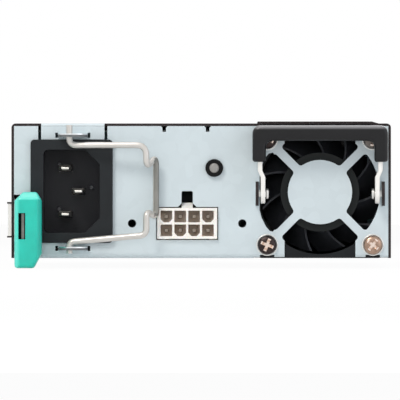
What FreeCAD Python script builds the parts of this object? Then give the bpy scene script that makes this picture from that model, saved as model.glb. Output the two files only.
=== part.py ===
import FreeCAD, Part
import math
import os
import Sketcher
from FreeCAD import Placement, Rotation, Vector

# A hot swap server power supply, in millimetres.
# The origin is the middle of the case's underside: +X right, +Y to the rear, +Z up.
# Every piece is drawn with the front face's outer plane at y = 0, and its Placement
# then moves it forward by half the case's length.

SIZES = [
    # the sheet metal case
    ("case_width", 115.0, "over the cover's sides"),
    ("case_length", 295.0, "front face to rear wall"),
    ("sheet", 0.8, "steel sheet of tray and cover"),
    ("bend_radius", 1.3, "outer radius of the sheet's bends"),
    ("lip_height", 22.0, "tray's side lips"),
    ("fit", 0.05, "clearance of pieces that fit each other"),
    ("moving_gap", 0.4, "clearance round pieces that move"),
    ("corner_round", 1.0, "rounding of sheet and plastic corners"),
    # the fan and its bay at the right
    ("fan_size", 40.0, "side of the square fan, which just fills the case's height"),
    ("fan_depth", 28.0, "front flange to rear flange"),
    ("fan_side_gap", 0.7, "fan frame to the cover's inner side"),
    ("fan_screw_inset", 4.0, "fan's sides to its screws"),
    ("fan_flange", 3.5, "thickness of the fan's two flanges"),
    ("fan_rim", 1.2, "fan's side to the barrel's bore"),
    ("barrel_wall", 0.9, "wall of the fan's barrel"),
    ("fan_screw_head", 5.7, "diameter of a fan screw's head"),
    ("screw_head_height", 1.9, "height of a fan screw's head"),
    ("grille_inset", 0.6, "barrel's bore to the grille's opening, on the radius"),
    ("grille_disk", 19.5, "diameter of the grille's centre disk"),
    ("grille_spoke", 2.6, "width of the grille's spokes"),
    ("grille_runout", 21.5, "width of the opening where it runs out of the edge"),
    ("grille_edge", 0.3, "underside to the grille's lower edge"),
    ("grille_shoulder", 3.5, "opening's edge back to where it starts to run out"),
    ("screw_notch_width", 4.4, "notch in the edge under a lower fan screw"),
    ("screw_notch_top", 1.0, "underside to the notch's top"),
    ("hub_diameter", 24.0, "fan hub"),
    ("hub_length", 20.0, "fan hub, along the shaft"),
    ("hub_wall", 1.2, "wall of the fan hub"),
    ("blade_count", 11, "fan blades"),
    ("blade_tip_gap", 0.7, "blade tip to barrel"),
    ("blade_root_chord", 15.5, "blade's length at the hub"),
    ("blade_tip_chord", 16.0, "blade's length at the tip"),
    ("blade_root_pitch", 29.5, "blade's angle to the shaft at the hub, degrees"),
    ("blade_tip_pitch", 33.0, "blade's angle to the shaft at the tip, degrees"),
    ("blade_sweep", 13.0, "how far the tip leads the root, degrees"),
    ("blade_thickness", 0.9, "fan blade"),
    ("fan_shaft_diameter", 3.0, "fan shaft"),
    ("boss_wall", 1.5, "wall of the hub's boss round the shaft"),
    ("boss_length", 2.0, "hub's boss behind its face"),
    ("hub_setback", 1.6, "face's inner side to the hub"),
    ("shaft_running_fit", 0.03, "shaft to bearing, on the radius"),
    ("bearing_diameter", 5.6, "outside of the bearing sleeve"),
    ("magnet_wall", 1.3, "magnet ring in the hub"),
    # the mains inlet at the left, turned on its side
    ("inlet_offset", 18.25, "case's left side to the inlet's centre"),
    ("inlet_drop", 0.15, "inlet's centre below the middle of the case's height"),
    ("inlet_flange_width", 24.9, "inlet flange, across"),
    ("inlet_flange_height", 31.3, "inlet flange, upright"),
    ("inlet_flange_depth", 1.6, "inlet flange, front to back"),
    ("inlet_body_width", 20.6, "inlet body, across"),
    ("inlet_body_height", 28.4, "inlet body, upright"),
    ("inlet_body_depth", 21.0, "inlet body behind the face"),
    ("inlet_recess_width", 17.0, "recess for the plug, across"),
    ("inlet_recess_height", 25.1, "recess for the plug, upright"),
    ("inlet_recess_depth", 16.5, "recess for the plug, from the flange's front"),
    ("inlet_recess_chamfer", 4.4, "corner cut that keys the plug"),
    ("inlet_recess_round", 1.4, "rounding of the recess's plain corners"),
    ("mains_pin_pitch", 14.0, "between the live and neutral pins"),
    ("earth_pin_lead", 4.0, "how far the earth pin stands from their line"),
    ("mains_pin_line", 2.0, "inlet's centre to the line of live and neutral"),
    ("mains_pin_width", 4.0, "flat blade"),
    ("mains_pin_thickness", 2.0, "flat blade"),
    ("mains_pin_length", 14.5, "flat blade above the recess's floor"),
    ("mains_tip_width", 2.2, "flat blade's end, across"),
    ("mains_tip_thickness", 0.7, "flat blade's end, upright"),
    ("mains_tip_length", 2.0, "tapered end of the flat blade"),
    ("mains_tab_length", 7.0, "tab behind the inlet"),
    ("lead_diameter", 2.6, "insulated mains lead"),
    # the cover's tab over the inlet, and the ears for the bail
    ("tab_width", 19.2, "tab folded down over the inlet"),
    ("tab_slot", 0.9, "slot each side of the tab"),
    ("swell_rise", 0.6, "raised strip over the fan bay, above the cover"),
    ("swell_slope", 3.5, "slope at the raised strip's right end"),
    ("ear_width", 9.0, "bail ear, across"),
    ("ear_reach", 7.0, "bail ear, out from the face"),
    ("ear_thickness", 1.0, "bail ear"),
    ("ear_offset", 1.0, "bail's pivot to the middle of its ears"),
    ("ear_relief", 0.8, "relief slot at each end of an ear"),
    ("upper_ear_gap", 0.8, "inlet flange's top to the upper ear"),
    ("lower_ear_gap", 1.2, "inlet flange's foot to the lower ear"),
    ("bail_wire_diameter", 1.9, "bail wire"),
    ("bail_fit", 0.1, "bail wire in its ear, on the radius"),
    ("bail_pivot_out", 4.0, "face to the bail's pivot"),
    ("bail_pivot_side", 0.65, "inlet's centre to the bail's pivot, leftwards"),
    ("bail_upper_arm", 13.95, "inlet's centre up to the upper arm"),
    ("bail_lower_arm", 13.25, "inlet's centre down to the lower arm's far end"),
    ("bail_lower_root", 15.35, "inlet's centre down to the lower arm at the pivot"),
    ("bail_reach", 23.3, "pivot to the bail's far legs"),
    ("bail_arm_out", 7.0, "face to the bail's far legs"),
    ("bail_cross_out", 2.8, "face to the bail's cross run"),
    ("bail_cross_step", 2.9, "far legs to the cross run, sideways"),
    ("bail_cross_top", 9.45, "inlet's centre up to the cross run's top"),
    ("bail_cross_bottom", 7.45, "inlet's centre down to the cross run's foot"),
    ("bail_overlap", 0.8, "how far the far legs pass the cross run's ends"),
    ("bail_end_above", 2.6, "wire standing above the upper ear"),
    ("bail_end_below", 1.0, "wire standing below the lower ear"),
    ("bail_bend", 1.0, "corner of the wire's path to where its bend starts"),
    # the eight-way connector, two screw holes and the status light
    ("connector_from_fan", 20.25, "fan frame's left side to the connector's centre"),
    ("connector_height", 10.5, "underside to the connector's centre"),
    ("connector_width", 18.2, "connector, across"),
    ("connector_tall", 9.4, "connector, upright"),
    ("connector_depth", 12.0, "connector behind the face"),
    ("connector_proud", 1.2, "connector in front of the face"),
    ("contact_pitch", 4.2, "between the connector's contacts"),
    ("cavity_width", 3.5, "connector cavity"),
    ("cavity_depth", 9.0, "connector cavity, from its front"),
    ("cavity_corner", 1.0, "corner cut of the keyed cavities"),
    ("contact_side", 1.1, "connector's square contact"),
    ("catch_width", 3.4, "ramp that the mating plug's latch hooks on"),
    ("catch_tall", 1.6, "ramp, above the connector"),
    ("catch_front", 0.9, "face to the ramp's front"),
    ("catch_crest", 2.2, "face back to the ramp's crest"),
    ("catch_back", 3.5, "face back to the ramp's rear"),
    ("contact_step", 2.4, "between the tails of the contacts' two rows"),
    ("connector_foot", 2.0, "width of the connector's feet"),
    ("hole_spacing", 33.4, "between the two screw holes beside the connector"),
    ("hole_diameter", 2.5, "screw hole"),
    ("latch_window_flare", 1.4, "how far the latch window widens at the connector"),
    ("connector_gap", 0.3, "face to the connector, all round"),
    ("latch_window_top", 20.3, "underside to the latch window's top"),
    ("notch_width", 1.1, "notches in the face's top edge"),
    ("notch_depth", 1.75, "notches in the face's top edge"),
    ("notch_flare", 0.5, "how far a notch widens at the edge"),
    ("notch_left", 6.95, "connector's centre to the left notch"),
    ("notch_right", 6.2, "connector's centre to the right notch"),
    ("light_side", 8.2, "connector's centre to the status light"),
    ("light_height", 27.3, "underside to the status light"),
    ("light_ring", 5.4, "status light's ring"),
    ("light_lens", 3.0, "status light's lens"),
    # the folding handle in front of the fan
    ("grip_past_fan", 0.5, "grip beyond the fan's sides"),
    ("grip_below_fan", 0.8, "fan's top to the grip's top"),
    ("grip_bar", 3.7, "grip's bar, upright"),
    ("grip_leg", 10.1, "grip's ends, upright"),
    ("grip_leg_width", 4.1, "grip's ends, across"),
    ("grip_inner_round", 2.4, "rounding inside the grip's shoulders"),
    ("grip_front", 9.0, "face to the grip's front"),
    ("grip_back", 2.5, "face to the grip's back"),
    ("strap_thickness", 1.4, "steel strap"),
    ("strap_width", 6.0, "steel strap at its pivot"),
    ("strap_inset", 1.6, "grip's end to the strap"),
    ("strap_jog", 0.9, "inward jog of the strap's lower ends"),
    ("jog_top", 7.0, "handle's pivot up to the jog's top"),
    ("jog_bottom", 5.0, "handle's pivot up to the jog's foot"),
    ("hinge_out", 4.8, "face to the handle's pivot"),
    ("hinge_drop", 0.5, "handle's pivot below the fan's centre"),
    ("hinge_ear", 0.95, "ear folded out of the grille"),
    ("hinge_ear_height", 7.6, "ear, upright"),
    ("hinge_ear_out", 8.0, "ear, out from the face"),
    ("rivet_shank", 2.2, "rivet in the handle's pivot"),
    ("rivet_head", 3.3, "head of the handle's rivet"),
    ("rivet_head_height", 0.7, "head of the handle's rivet"),
    ("strap_play", 0.3, "strap to the rivet's head"),
    # the thumb latch at the left edge
    ("latch_cap_width", 8.2, "thumb cap, across"),
    ("latch_cap_top", 20.0, "underside to the cap's top"),
    ("latch_cap_drop", 3.0, "how far the cap hangs below the case"),
    ("latch_cap_front", 14.0, "face to the cap's front"),
    ("latch_cap_back", 2.7, "face to the cap's back"),
    ("latch_cap_side", 1.1, "case's left side to the cap"),
    ("latch_cap_cut", 2.6, "corner cut at the cap's top left"),
    ("latch_foot_cut", 4.4, "corner cut at the cap's right foot, upright"),
    ("latch_cap_brow", 2.3, "slope over the cap's front, upright"),
    ("latch_cap_facet", 1.8, "slanted facet along the cap's right side"),
    ("latch_slot_left", 0.9, "slot in the cap, left of the blade's end"),
    ("latch_slot_right", 0.3, "slot in the cap, right of the blade's end"),
    ("latch_slot_depth", 2.5, "slot in the cap, from its front"),
    ("latch_blade_thick", 0.9, "steel blade"),
    ("latch_blade_side", 3.2, "case's left side to the blade"),
    ("latch_blade_low", 5.8, "underside to the blade's lower edge"),
    ("latch_blade_top", 13.6, "underside to the blade's upper edge"),
    ("latch_catch_low", 6.2, "underside to the catch"),
    ("latch_catch_top", 17.0, "underside to the catch's top"),
    ("latch_catch_proud", 1.4, "catch beyond the case's side"),
    ("latch_catch_front", 3.0, "face to the catch"),
    ("latch_catch_length", 13.0, "catch, front to back"),
    ("catch_flange", 0.5, "flange at the catch's top and foot"),
    ("catch_sunk", 0.3, "catch's ramp below its flanges"),
    ("latch_hinge", 42.0, "face to where the blade bends"),
    ("latch_spring_thick", 0.5, "spring end of the blade"),
    ("latch_pad_length", 12.0, "riveted end of the spring"),
    ("latch_opening", 5.9, "opening in the face for the blade"),
    ("blade_setback", 1.5, "cap's front to the blade's end"),
    ("blade_taper", 2.0, "length over which the blade thins to its spring"),
    ("spring_run", 6.0, "spring lying along the lip before its weld"),
    ("spring_gap", 0.3, "spring's end to its welded pad"),
    # the boards and what stands on them
    ("board_height", 3.2, "underside to the board's lower side"),
    ("board_thickness", 1.6, "main board"),
    ("board_side_gap", 1.2, "board to the tray's lips"),
    ("board_gap", 1.0, "board to the walls and housings round it"),
    ("tongue_width", 68.0, "card edge at the rear"),
    ("tongue_reach", 9.0, "card edge beyond the rear wall"),
    ("support_width", 6.0, "board support, corner to corner"),
    ("support_neck", 2.4, "board support's neck through the board"),
    ("film_thickness", 0.25, "insulating film under the board"),
    ("film_margin", 2.0, "insulating film short of the walls"),
    ("support_barb", 0.5, "support's barb beyond its neck"),
    ("pad_thickness", 0.1, "gold pads of the card edge"),
    ("pad_margin", 1.0, "card's sides and rear wall to the pads"),
    ("signal_pitch", 2.2, "between the signal pads"),
    ("signal_width", 1.4, "signal pad"),
    ("signal_zone", 22.0, "middle of the card edge kept for signal pads"),
    ("vent_hole", 7.0, "rear vent, corner to corner"),
    ("vent_pitch", 8.2, "between rear vents"),
    ("lead_space", 6.0, "fan to the first row on the board"),
    ("can_diameter", 30.0, "reservoir capacitor"),
    ("can_length", 50.0, "reservoir capacitor"),
    ("choke_length", 26.0, "mains filter choke"),
    ("boost_length", 32.0, "boost choke"),
    ("core_length", 36.0, "transformer core along the case"),
    ("core_width", 42.0, "transformer core across the case"),
    ("core_height", 29.0, "transformer core, upright"),
    ("winding_gap", 0.5, "winding to its core"),
    ("winding_proud", 1.0, "winding above its core"),
    ("sink_height", 31.0, "heat sinks, upright"),
    ("output_can", 12.5, "output capacitor"),
    ("output_can_height", 20.0, "output capacitor, upright"),
    ("component_gap", 2.0, "between components side by side"),
    ("x_capacitor_width", 11.0, "interference capacitor, across"),
    ("x_capacitor_length", 26.0, "interference capacitor, front to back"),
    ("x_capacitor_height", 18.0, "interference capacitor, upright"),
    ("fuse_length", 20.0, "boxed fuse, across"),
    ("fuse_width", 5.2, "boxed fuse, front to back"),
    ("fuse_height", 7.0, "boxed fuse, upright"),
    ("relay_side", 14.0, "board's left side to the relay"),
    ("relay_width", 15.0, "relay, across"),
    ("relay_height", 16.0, "relay, upright"),
    ("sink_plate", 2.0, "heat sinks' plates"),
    ("fin_thickness", 1.4, "heat sinks' fins"),
    ("fin_pitch", 5.5, "between the bridge sink's fins"),
    ("sink_reach", 7.0, "primary sink's fins"),
    ("bridge_sink_length", 36.0, "bridge's heat sink, across"),
    ("bridge_sink_height", 26.0, "bridge's heat sink, upright"),
    ("bridge_length", 24.0, "bridge rectifier, across"),
    ("bridge_height", 18.0, "bridge rectifier, upright"),
    ("package_stand", 4.0, "board to the bodies of bridge and transistors"),
    ("package_thickness", 4.0, "bridge and transistors"),
    ("package_width", 10.0, "transistor, along the sink"),
    ("package_height", 16.0, "transistor, upright"),
    ("package_pitch", 16.0, "between transistors"),
    ("package_pin", 1.2, "pins of bridge and transistors"),
    ("card_thickness", 1.2, "control board"),
    ("card_height", 26.0, "control board, upright"),
    ("card_side", 4.0, "main board's left side to the control board"),
    ("chip_length", 9.0, "control chip"),
    ("chip_height", 8.0, "control chip, upright"),
    ("chip_thickness", 1.6, "control chip"),
    ("chip_pitch", 18.0, "between control chips"),
    ("secondary_length", 58.0, "secondary heat sink, across"),
    ("bar_height", 4.0, "output bus bars"),
    ("bar_gap", 3.0, "middle of the board to a bus bar"),
    ("support_inset", 5.0, "edges to the board supports"),
    ("fan_wire_width", 4.0, "fan's flat lead"),
    ("fan_wire_thickness", 1.2, "fan's flat lead"),
    ("fan_wire_height", 9.0, "fan's flat lead above the board"),
]

doc = FreeCAD.newDocument("power_supply")
sheet_object = doc.addObject("Spreadsheet::Sheet", "sizes")
for row, (alias, number, meaning) in enumerate(SIZES, start=1):
    sheet_object.set(f"A{row}", alias)
    sheet_object.set(f"B{row}", str(number))
    sheet_object.set(f"C{row}", meaning)
    sheet_object.setAlias(f"B{row}", alias)
doc.recompute()


class Size:
    """A length that knows its value and the sheet expression that gives it."""

    def __init__(self, value, text):
        self.value = value
        self.text = text

    def __add__(self, other):
        other = as_size(other)
        return Size(self.value + other.value, f"({self.text} + {other.text})")

    def __sub__(self, other):
        other = as_size(other)
        return Size(self.value - other.value, f"({self.text} - {other.text})")

    def __mul__(self, other):
        other = as_size(other)
        return Size(self.value * other.value, f"({self.text} * {other.text})")

    def __truediv__(self, other):
        other = as_size(other)
        return Size(self.value / other.value, f"({self.text} / {other.text})")

    def __neg__(self):
        return Size(-self.value, f"(0 - {self.text})")

    def __radd__(self, other):
        return as_size(other) + self

    def __rsub__(self, other):
        return as_size(other) - self

    def __rmul__(self, other):
        return as_size(other) * self


def as_size(item):
    """A plain number, made a Size."""
    if isinstance(item, Size):
        return item
    return Size(float(item), f"({float(item)})")


class Sheet:
    """The sheet's cells by name, each as a Size."""

    def __getattr__(self, alias):
        return Size(float(sheet_object.get(alias)), f"sizes.{alias}")


s = Sheet()
parts = []
own_y = {}


def bind(item, name, size):
    """Ties a property of a document object to the sheet."""
    item.setExpression(name, as_size(size).text)


def move_to(item, x, y, z):
    """Places a primitive; its y is kept for when the piece is moved into the case."""
    own_y[item.Name] = as_size(y)
    for axis, size in zip("xyz", (x, y, z)):
        bind(item, f"Placement.Base.{axis}", size)
    return item


def box(name, x, y, z):
    """A block from three (low, high) pairs."""
    item = doc.addObject("Part::Box", name)
    for side, (low, high) in zip(("Length", "Width", "Height"), (x, y, z)):
        bind(item, side, high - low)
    return move_to(item, x[0], y[0], z[0])


TURNS = {
    "x": Rotation(Vector(0, 1, 0), 90),
    "y": Rotation(Vector(1, 0, 0), -90),
    "z": Rotation(),
}


def rod(name, axis, x, y, z, radius, length, angle=None, start=0):
    """A cylinder that runs along +axis from the point (x, y, z)."""
    item = doc.addObject("Part::Cylinder", name)
    turn = Rotation(Vector(0, 0, 1), start)
    item.Placement = Placement(Vector(), TURNS[axis].multiply(turn))
    bind(item, "Radius", radius)
    bind(item, "Height", length)
    if angle is not None:
        item.Angle = angle
    return move_to(item, x, y, z)


def hexagon(name, x, y, z, across, length):
    """A six-sided prism that runs along +Y from the point (x, y, z)."""
    item = doc.addObject("Part::Prism", name)
    item.Placement = Placement(Vector(), TURNS["y"])
    item.Polygon = 6
    bind(item, "Circumradius", across / 2)
    bind(item, "Height", length)
    return move_to(item, x, y, z)


def fuse(name, *items):
    item = doc.addObject("Part::MultiFuse", name)
    item.Shapes = list(items)
    item.Refine = True
    return item


def group(name, items):
    """Separate solids that share one node, or one cut."""
    item = doc.addObject("Part::Compound", name)
    item.Links = list(items)
    return item


def cut(name, base, tool):
    item = doc.addObject("Part::Cut", name)
    item.Base = base
    item.Tool = tool
    item.Refine = True
    return item


def common(name, first, second):
    item = doc.addObject("Part::Common", name)
    item.Base = first
    item.Tool = second
    return item


def round_edges(name, base, radius, test):
    """Rounds the edges of a boolean's shape that pass a test."""
    doc.recompute()
    item = doc.addObject("Part::Fillet", name)
    item.Base = base
    chosen = [number for number, edge in enumerate(base.Shape.Edges, start=1) if test(edge)]
    item.Edges = [(number, radius.value, radius.value) for number in chosen]
    return item


def runs_along(edge, axis):
    """True for a straight edge parallel to an axis."""
    if edge.Curve.TypeId != "Part::GeomLine":
        return False
    direction = edge.Curve.Direction
    return abs(getattr(direction, axis)) > 0.999


def part(name, item):
    """Names a finished piece and moves it into the case's frame."""
    item.Label = name
    bind(item, "Placement.Base.y", own_y.get(item.Name, as_size(0)) - s.case_length / 2)
    parts.append(item)
    return item


# ---- sketched bodies ----

def new_body(name):
    return doc.addObject("PartDesign::Body", name)


def origin_feature(body, role):
    return next(item for item in body.Origin.OriginFeatures if item.Role == role)


def outline(body, name, role, points, offset):
    """A closed sketch of straight edges, each corner tied to the sheet."""
    sketch = body.newObject("Sketcher::SketchObject", name)
    sketch.AttachmentSupport = [(origin_feature(body, role), "")]
    sketch.MapMode = "FlatFace"
    bind(sketch, "AttachmentOffset.Base.z", offset)
    corners = [(as_size(u), as_size(v)) for u, v in points]
    spots = [Vector(u.value, v.value, 0) for u, v in corners]
    count = len(corners)
    for index in range(count):
        sketch.addGeometry(Part.LineSegment(spots[index], spots[(index + 1) % count]), False)
    for index in range(count):
        following = (index + 1) % count
        sketch.addConstraint(Sketcher.Constraint("Coincident", index, 2, following, 1))
    for index, corner in enumerate(corners):
        for kind, size in zip(("DistanceX", "DistanceY"), corner):
            number = sketch.addConstraint(Sketcher.Constraint(kind, -1, 1, index, 1, size.value))
            sketch.setExpression(f"Constraints[{number}]", size.text)
    return sketch


def pad(body, name, role, points, low, high):
    """Adds an outline's prism between two levels of the plane's axis."""
    faces_back = role == "XZ_Plane"
    sketch = outline(body, f"{name}_outline", role, points, -as_size(low) if faces_back else low)
    item = body.newObject("PartDesign::Pad", name)
    item.Profile = sketch
    bind(item, "Length", high - low)
    item.Reversed = faces_back
    return item


def pocket(body, name, role, points, low, high):
    """Cuts an outline's prism between two levels of the plane's axis."""
    faces_back = role == "XZ_Plane"
    sketch = outline(body, f"{name}_outline", role, points, -as_size(low) if faces_back else high)
    item = body.newObject("PartDesign::Pocket", name)
    item.Profile = sketch
    bind(item, "Length", high - low)
    return item


def round_body(body, name, radius, test):
    """Rounds the edges of a body's last feature that pass a test."""
    doc.recompute()
    last = body.Tip
    chosen = [f"Edge{n}" for n, edge in enumerate(last.Shape.Edges, start=1) if test(edge)]
    item = body.newObject("PartDesign::Fillet", name)
    item.Base = (last, chosen)
    bind(item, "Radius", radius)
    return item


def rectangle(left, right, low, high):
    return [(left, low), (right, low), (right, high), (left, high)]


def slab(name, role, points, low, high):
    """A body with a single pad."""
    body = new_body(name)
    pad(body, f"{name}_pad", role, points, low, high)
    return body


# ---- places that several pieces share ----

case_height = s.fan_size + s.sheet
half_width = s.case_width / 2
tray_half = half_width - s.sheet
inner_half = tray_half - s.sheet
cover_under = case_height - s.sheet
fan_x = tray_half - s.fan_side_gap - s.fan_size / 2
fan_z = s.fan_size / 2
fan_left = fan_x - s.fan_size / 2
fan_back = s.sheet + s.fan_depth
fan_bore = s.fan_size - s.fan_rim * 2
grille_opening = fan_bore - s.grille_inset * 2
hinge_z = fan_z - s.hinge_drop
jog_top = hinge_z + s.jog_top
jog_foot = hinge_z + s.jog_bottom
grip_top = s.fan_size - s.grip_below_fan
inlet_x = s.inlet_offset - half_width
inlet_z = case_height / 2 - s.inlet_drop
flange_top = inlet_z + s.inlet_flange_height / 2
bail_x = inlet_x - s.bail_pivot_side
ear_x = bail_x + s.ear_offset
upper_ear = flange_top + s.upper_ear_gap
lower_ear = flange_top - s.inlet_flange_height - s.lower_ear_gap - s.ear_thickness
connector_x = fan_left - s.connector_from_fan
connector_z = s.connector_height
connector_top = connector_z + s.connector_tall / 2
grip_half = s.fan_size / 2 + s.grip_past_fan
board_top = s.board_height + s.board_thickness
latch_x = s.latch_blade_side - half_width
board_half = inner_half - s.board_side_gap
wall_back = s.case_length - s.sheet
lip_start = s.latch_hinge + s.moving_gap

# The rows of components share the free length of the board evenly.
row_start = fan_back + s.lead_space
row_lengths = [
    s.boost_length,
    s.choke_length / 2,
    s.can_length,
    s.core_length,
    s.output_can * 3,
    s.output_can,
    s.output_can,
]
row_gap = (wall_back - row_start - sum(row_lengths, as_size(0))) / len(row_lengths)
rows = [row_start]
for length in row_lengths:
    rows.append(rows[-1] + length + row_gap)
filter_row, rectifier_row, reservoir_row, converter_row, rectified_row, output_row, bar_row, _ = rows


# ---- the case ----

VENT_COLUMNS = 13
HONEYCOMB_ROW = 0.87  # row spacing of a honeycomb, as a share of its pitch


def grille_tool():
    """The fan grille's four sectors, with the two that run out of the sheet's edges."""
    start = -s.sheet
    length = s.sheet * 3
    ring = cut("grille_ring",
               rod("grille_round", "y", fan_x, start, fan_z, grille_opening / 2, length),
               rod("grille_middle", "y", fan_x, start, fan_z, s.grille_disk / 2, length))
    spokes = []
    for name, turn in (("rising", 45), ("falling", 135)):
        spoke = doc.addObject("Part::Box", f"spoke_{name}")
        bind(spoke, "Length", grille_opening * 2)
        bind(spoke, "Width", length)
        bind(spoke, "Height", s.grille_spoke)
        middle = Vector(-grille_opening.value, 0, -s.grille_spoke.value / 2)
        rotation = Rotation(Vector(0, 1, 0), turn)
        place = Vector(fan_x.value, start.value, fan_z.value) + rotation.multVec(middle)
        spoke.Placement = Placement(place, rotation)
        spokes.append(spoke)
    sectors = cut("grille_sectors", ring, fuse("grille_spokes", *spokes))
    rounded = round_edges("grille_rounded", sectors, s.corner_round,
                          lambda edge: runs_along(edge, "y"))
    across = (fan_x - s.grille_runout / 2, fan_x + s.grille_runout / 2)
    along = (start, start + length)
    shoulder = grille_opening / 2 - s.grille_shoulder
    below = box("runout_below", across, along, (fan_z - grille_opening / 2 - s.sheet * 4,
                                                fan_z - shoulder))
    above = box("runout_above", across, along, (fan_z + shoulder,
                                                fan_z + grille_opening / 2))
    return fuse("grille_openings", rounded, below, above)


def bail_ear(name, height, root_y):
    """A half-round ear for the bail, level, with its hole."""
    half = s.ear_width / 2
    block = box(f"{name}_block", (ear_x - half, ear_x + half), (half - s.ear_reach, root_y),
                (height, height + s.ear_thickness))
    nose = rod(f"{name}_nose", "z", ear_x, half - s.ear_reach, height, half, s.ear_thickness,
               180, 180)
    hole = rod(f"{name}_hole", "z", bail_x, -s.bail_pivot_out, height - s.ear_thickness,
               s.bail_wire_diameter / 2 + s.bail_fit, s.ear_thickness * 3)
    return cut(name, fuse(f"{name}_plate", block, nose), hole)


def ear_reliefs(name, height):
    """The slots that let an ear fold out of its sheet."""
    near = s.ear_width / 2
    far = near + s.ear_relief
    slots = []
    for side, ends in (("left", (ear_x - far, ear_x - near)), ("right", (ear_x + near, ear_x + far))):
        slots.append(box(f"{name}_relief_{side}", ends, (-s.sheet, s.sheet * 2),
                         (height - s.ear_relief / 3, height + s.ear_thickness + s.ear_relief / 3)))
    return slots


def hinge_ear(name, side):
    """An ear folded forward from the grille's side opening, for the handle's rivet."""
    outer = grip_half - s.hinge_ear
    ends = sorted([fan_x + side * outer, fan_x + side * (outer - s.hinge_ear)],
                  key=lambda size: size.value)
    low = hinge_z - s.hinge_ear_height / 2
    plate = box(f"{name}_plate", ends, (-s.hinge_ear_out, s.sheet),
                (low, low + s.hinge_ear_height))
    rounded = round_edges(f"{name}_rounded", plate, s.hinge_ear_height * 0.4,
                          lambda edge: runs_along(edge, "x") and edge.CenterOfMass.y < 0)
    hole = rod(f"{name}_hole", "x", ends[0] - s.hinge_ear, -s.hinge_out, hinge_z,
               s.rivet_shank / 2, s.hinge_ear * 3)
    return cut(name, rounded, hole)


def face_cuts():
    """Every opening of the front face."""
    deep = (-s.sheet, s.sheet * 2)
    cuts = [grille_tool()]
    tab_half = s.tab_width / 2 + s.tab_slot
    body_half = s.inlet_body_width / 2 + s.fit
    body_low = inlet_z - s.inlet_body_height / 2 - s.fit
    cuts.append(box("inlet_notch", (inlet_x - body_half, inlet_x + body_half), deep,
                    (body_low, flange_top)))
    cuts.append(box("tab_notch", (ear_x - tab_half, ear_x + tab_half), deep,
                    (flange_top - s.sheet, case_height)))
    cuts.append(box("blade_opening", (-half_width, s.latch_opening - half_width), deep,
                    (s.sheet + 1, s.latch_cap_top - s.sheet)))
    clear = s.connector_gap
    cuts.append(box("connector_opening",
                    (connector_x - s.connector_width / 2 - clear,
                     connector_x + s.connector_width / 2 + clear), deep,
                    (connector_top - s.connector_tall - clear, connector_top + clear)))
    half = s.catch_width / 2
    wide = half + s.latch_window_flare
    step = connector_top + s.latch_window_flare
    window = slab("latch_window", "XZ_Plane",
                  [(connector_x - half, s.latch_window_top), (connector_x - half, step),
                   (connector_x - wide, connector_top), (connector_x + wide, connector_top),
                   (connector_x + half, step), (connector_x + half, s.latch_window_top)],
                  -s.sheet, s.sheet * 2)
    round_body(window, "window_corners", s.corner_round * 0.5,
               lambda edge: runs_along(edge, "y")
               and edge.CenterOfMass.z > s.latch_window_top.value - 0.01)
    cuts.append(window)
    for name, side in (("left", -1), ("right", 1)):
        cuts.append(rod(f"hole_{name}", "y", connector_x + side * s.hole_spacing / 2, deep[0],
                        connector_z, s.hole_diameter / 2, s.sheet * 3))
    for name, x in (("left", connector_x - s.notch_left), ("right", connector_x + s.notch_right)):
        narrow = s.notch_width / 2
        broad = narrow + s.notch_flare
        cuts.append(slab(f"notch_{name}", "XZ_Plane",
                         [(x - narrow, cover_under - s.notch_depth),
                          (x + narrow, cover_under - s.notch_depth),
                          (x + narrow, cover_under - s.notch_flare), (x + broad, cover_under),
                          (x + broad, case_height), (x - broad, case_height),
                          (x - broad, cover_under), (x - narrow, cover_under - s.notch_flare)],
                         -s.sheet, s.sheet * 2))
    for name, x, z in fan_corners()[:2]:
        cuts.append(box(f"screw_notch_{name}", (x - s.screw_notch_width / 2,
                                                x + s.screw_notch_width / 2), deep,
                        (-s.sheet, s.screw_notch_top)))
    cuts += ear_reliefs("lower", lower_ear)
    cuts.append(rod("light_hole", "y", connector_x + s.light_side, deep[0], s.light_height,
                    s.light_ring / 2 - s.sheet, s.sheet * 3))
    return cuts


def fan_corners():
    """The fan's four screws: name, x and z."""
    half = s.fan_size / 2 - s.fan_screw_inset
    return [(f"{up}_{side}", fan_x + dx * half, fan_z + dz * half)
            for up, dz in (("low", -1), ("top", 1)) for side, dx in (("left", -1), ("right", 1))]


def rear_cuts():
    """The card edge's slot and the hexagonal vents of the rear wall."""
    deep = (wall_back - s.sheet, s.case_length + s.sheet)
    slot = box("tongue_slot", (-s.tongue_width / 2 - s.board_side_gap,
                               s.tongue_width / 2 + s.board_side_gap), deep,
               (s.board_height - s.board_thickness, board_top + s.component_gap * 2))
    vents = []
    for level in range(2):
        for column in range(VENT_COLUMNS - level):
            x = s.vent_pitch * (column + (level + 1 - VENT_COLUMNS) / 2)
            z = case_height - s.vent_pitch * (HONEYCOMB_ROW * level + 0.9)
            vents.append(hexagon(f"vent_{level}_{column}", x, deep[0], z, s.vent_hole,
                                 s.sheet * 3))
    return [slot] + vents


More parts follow.
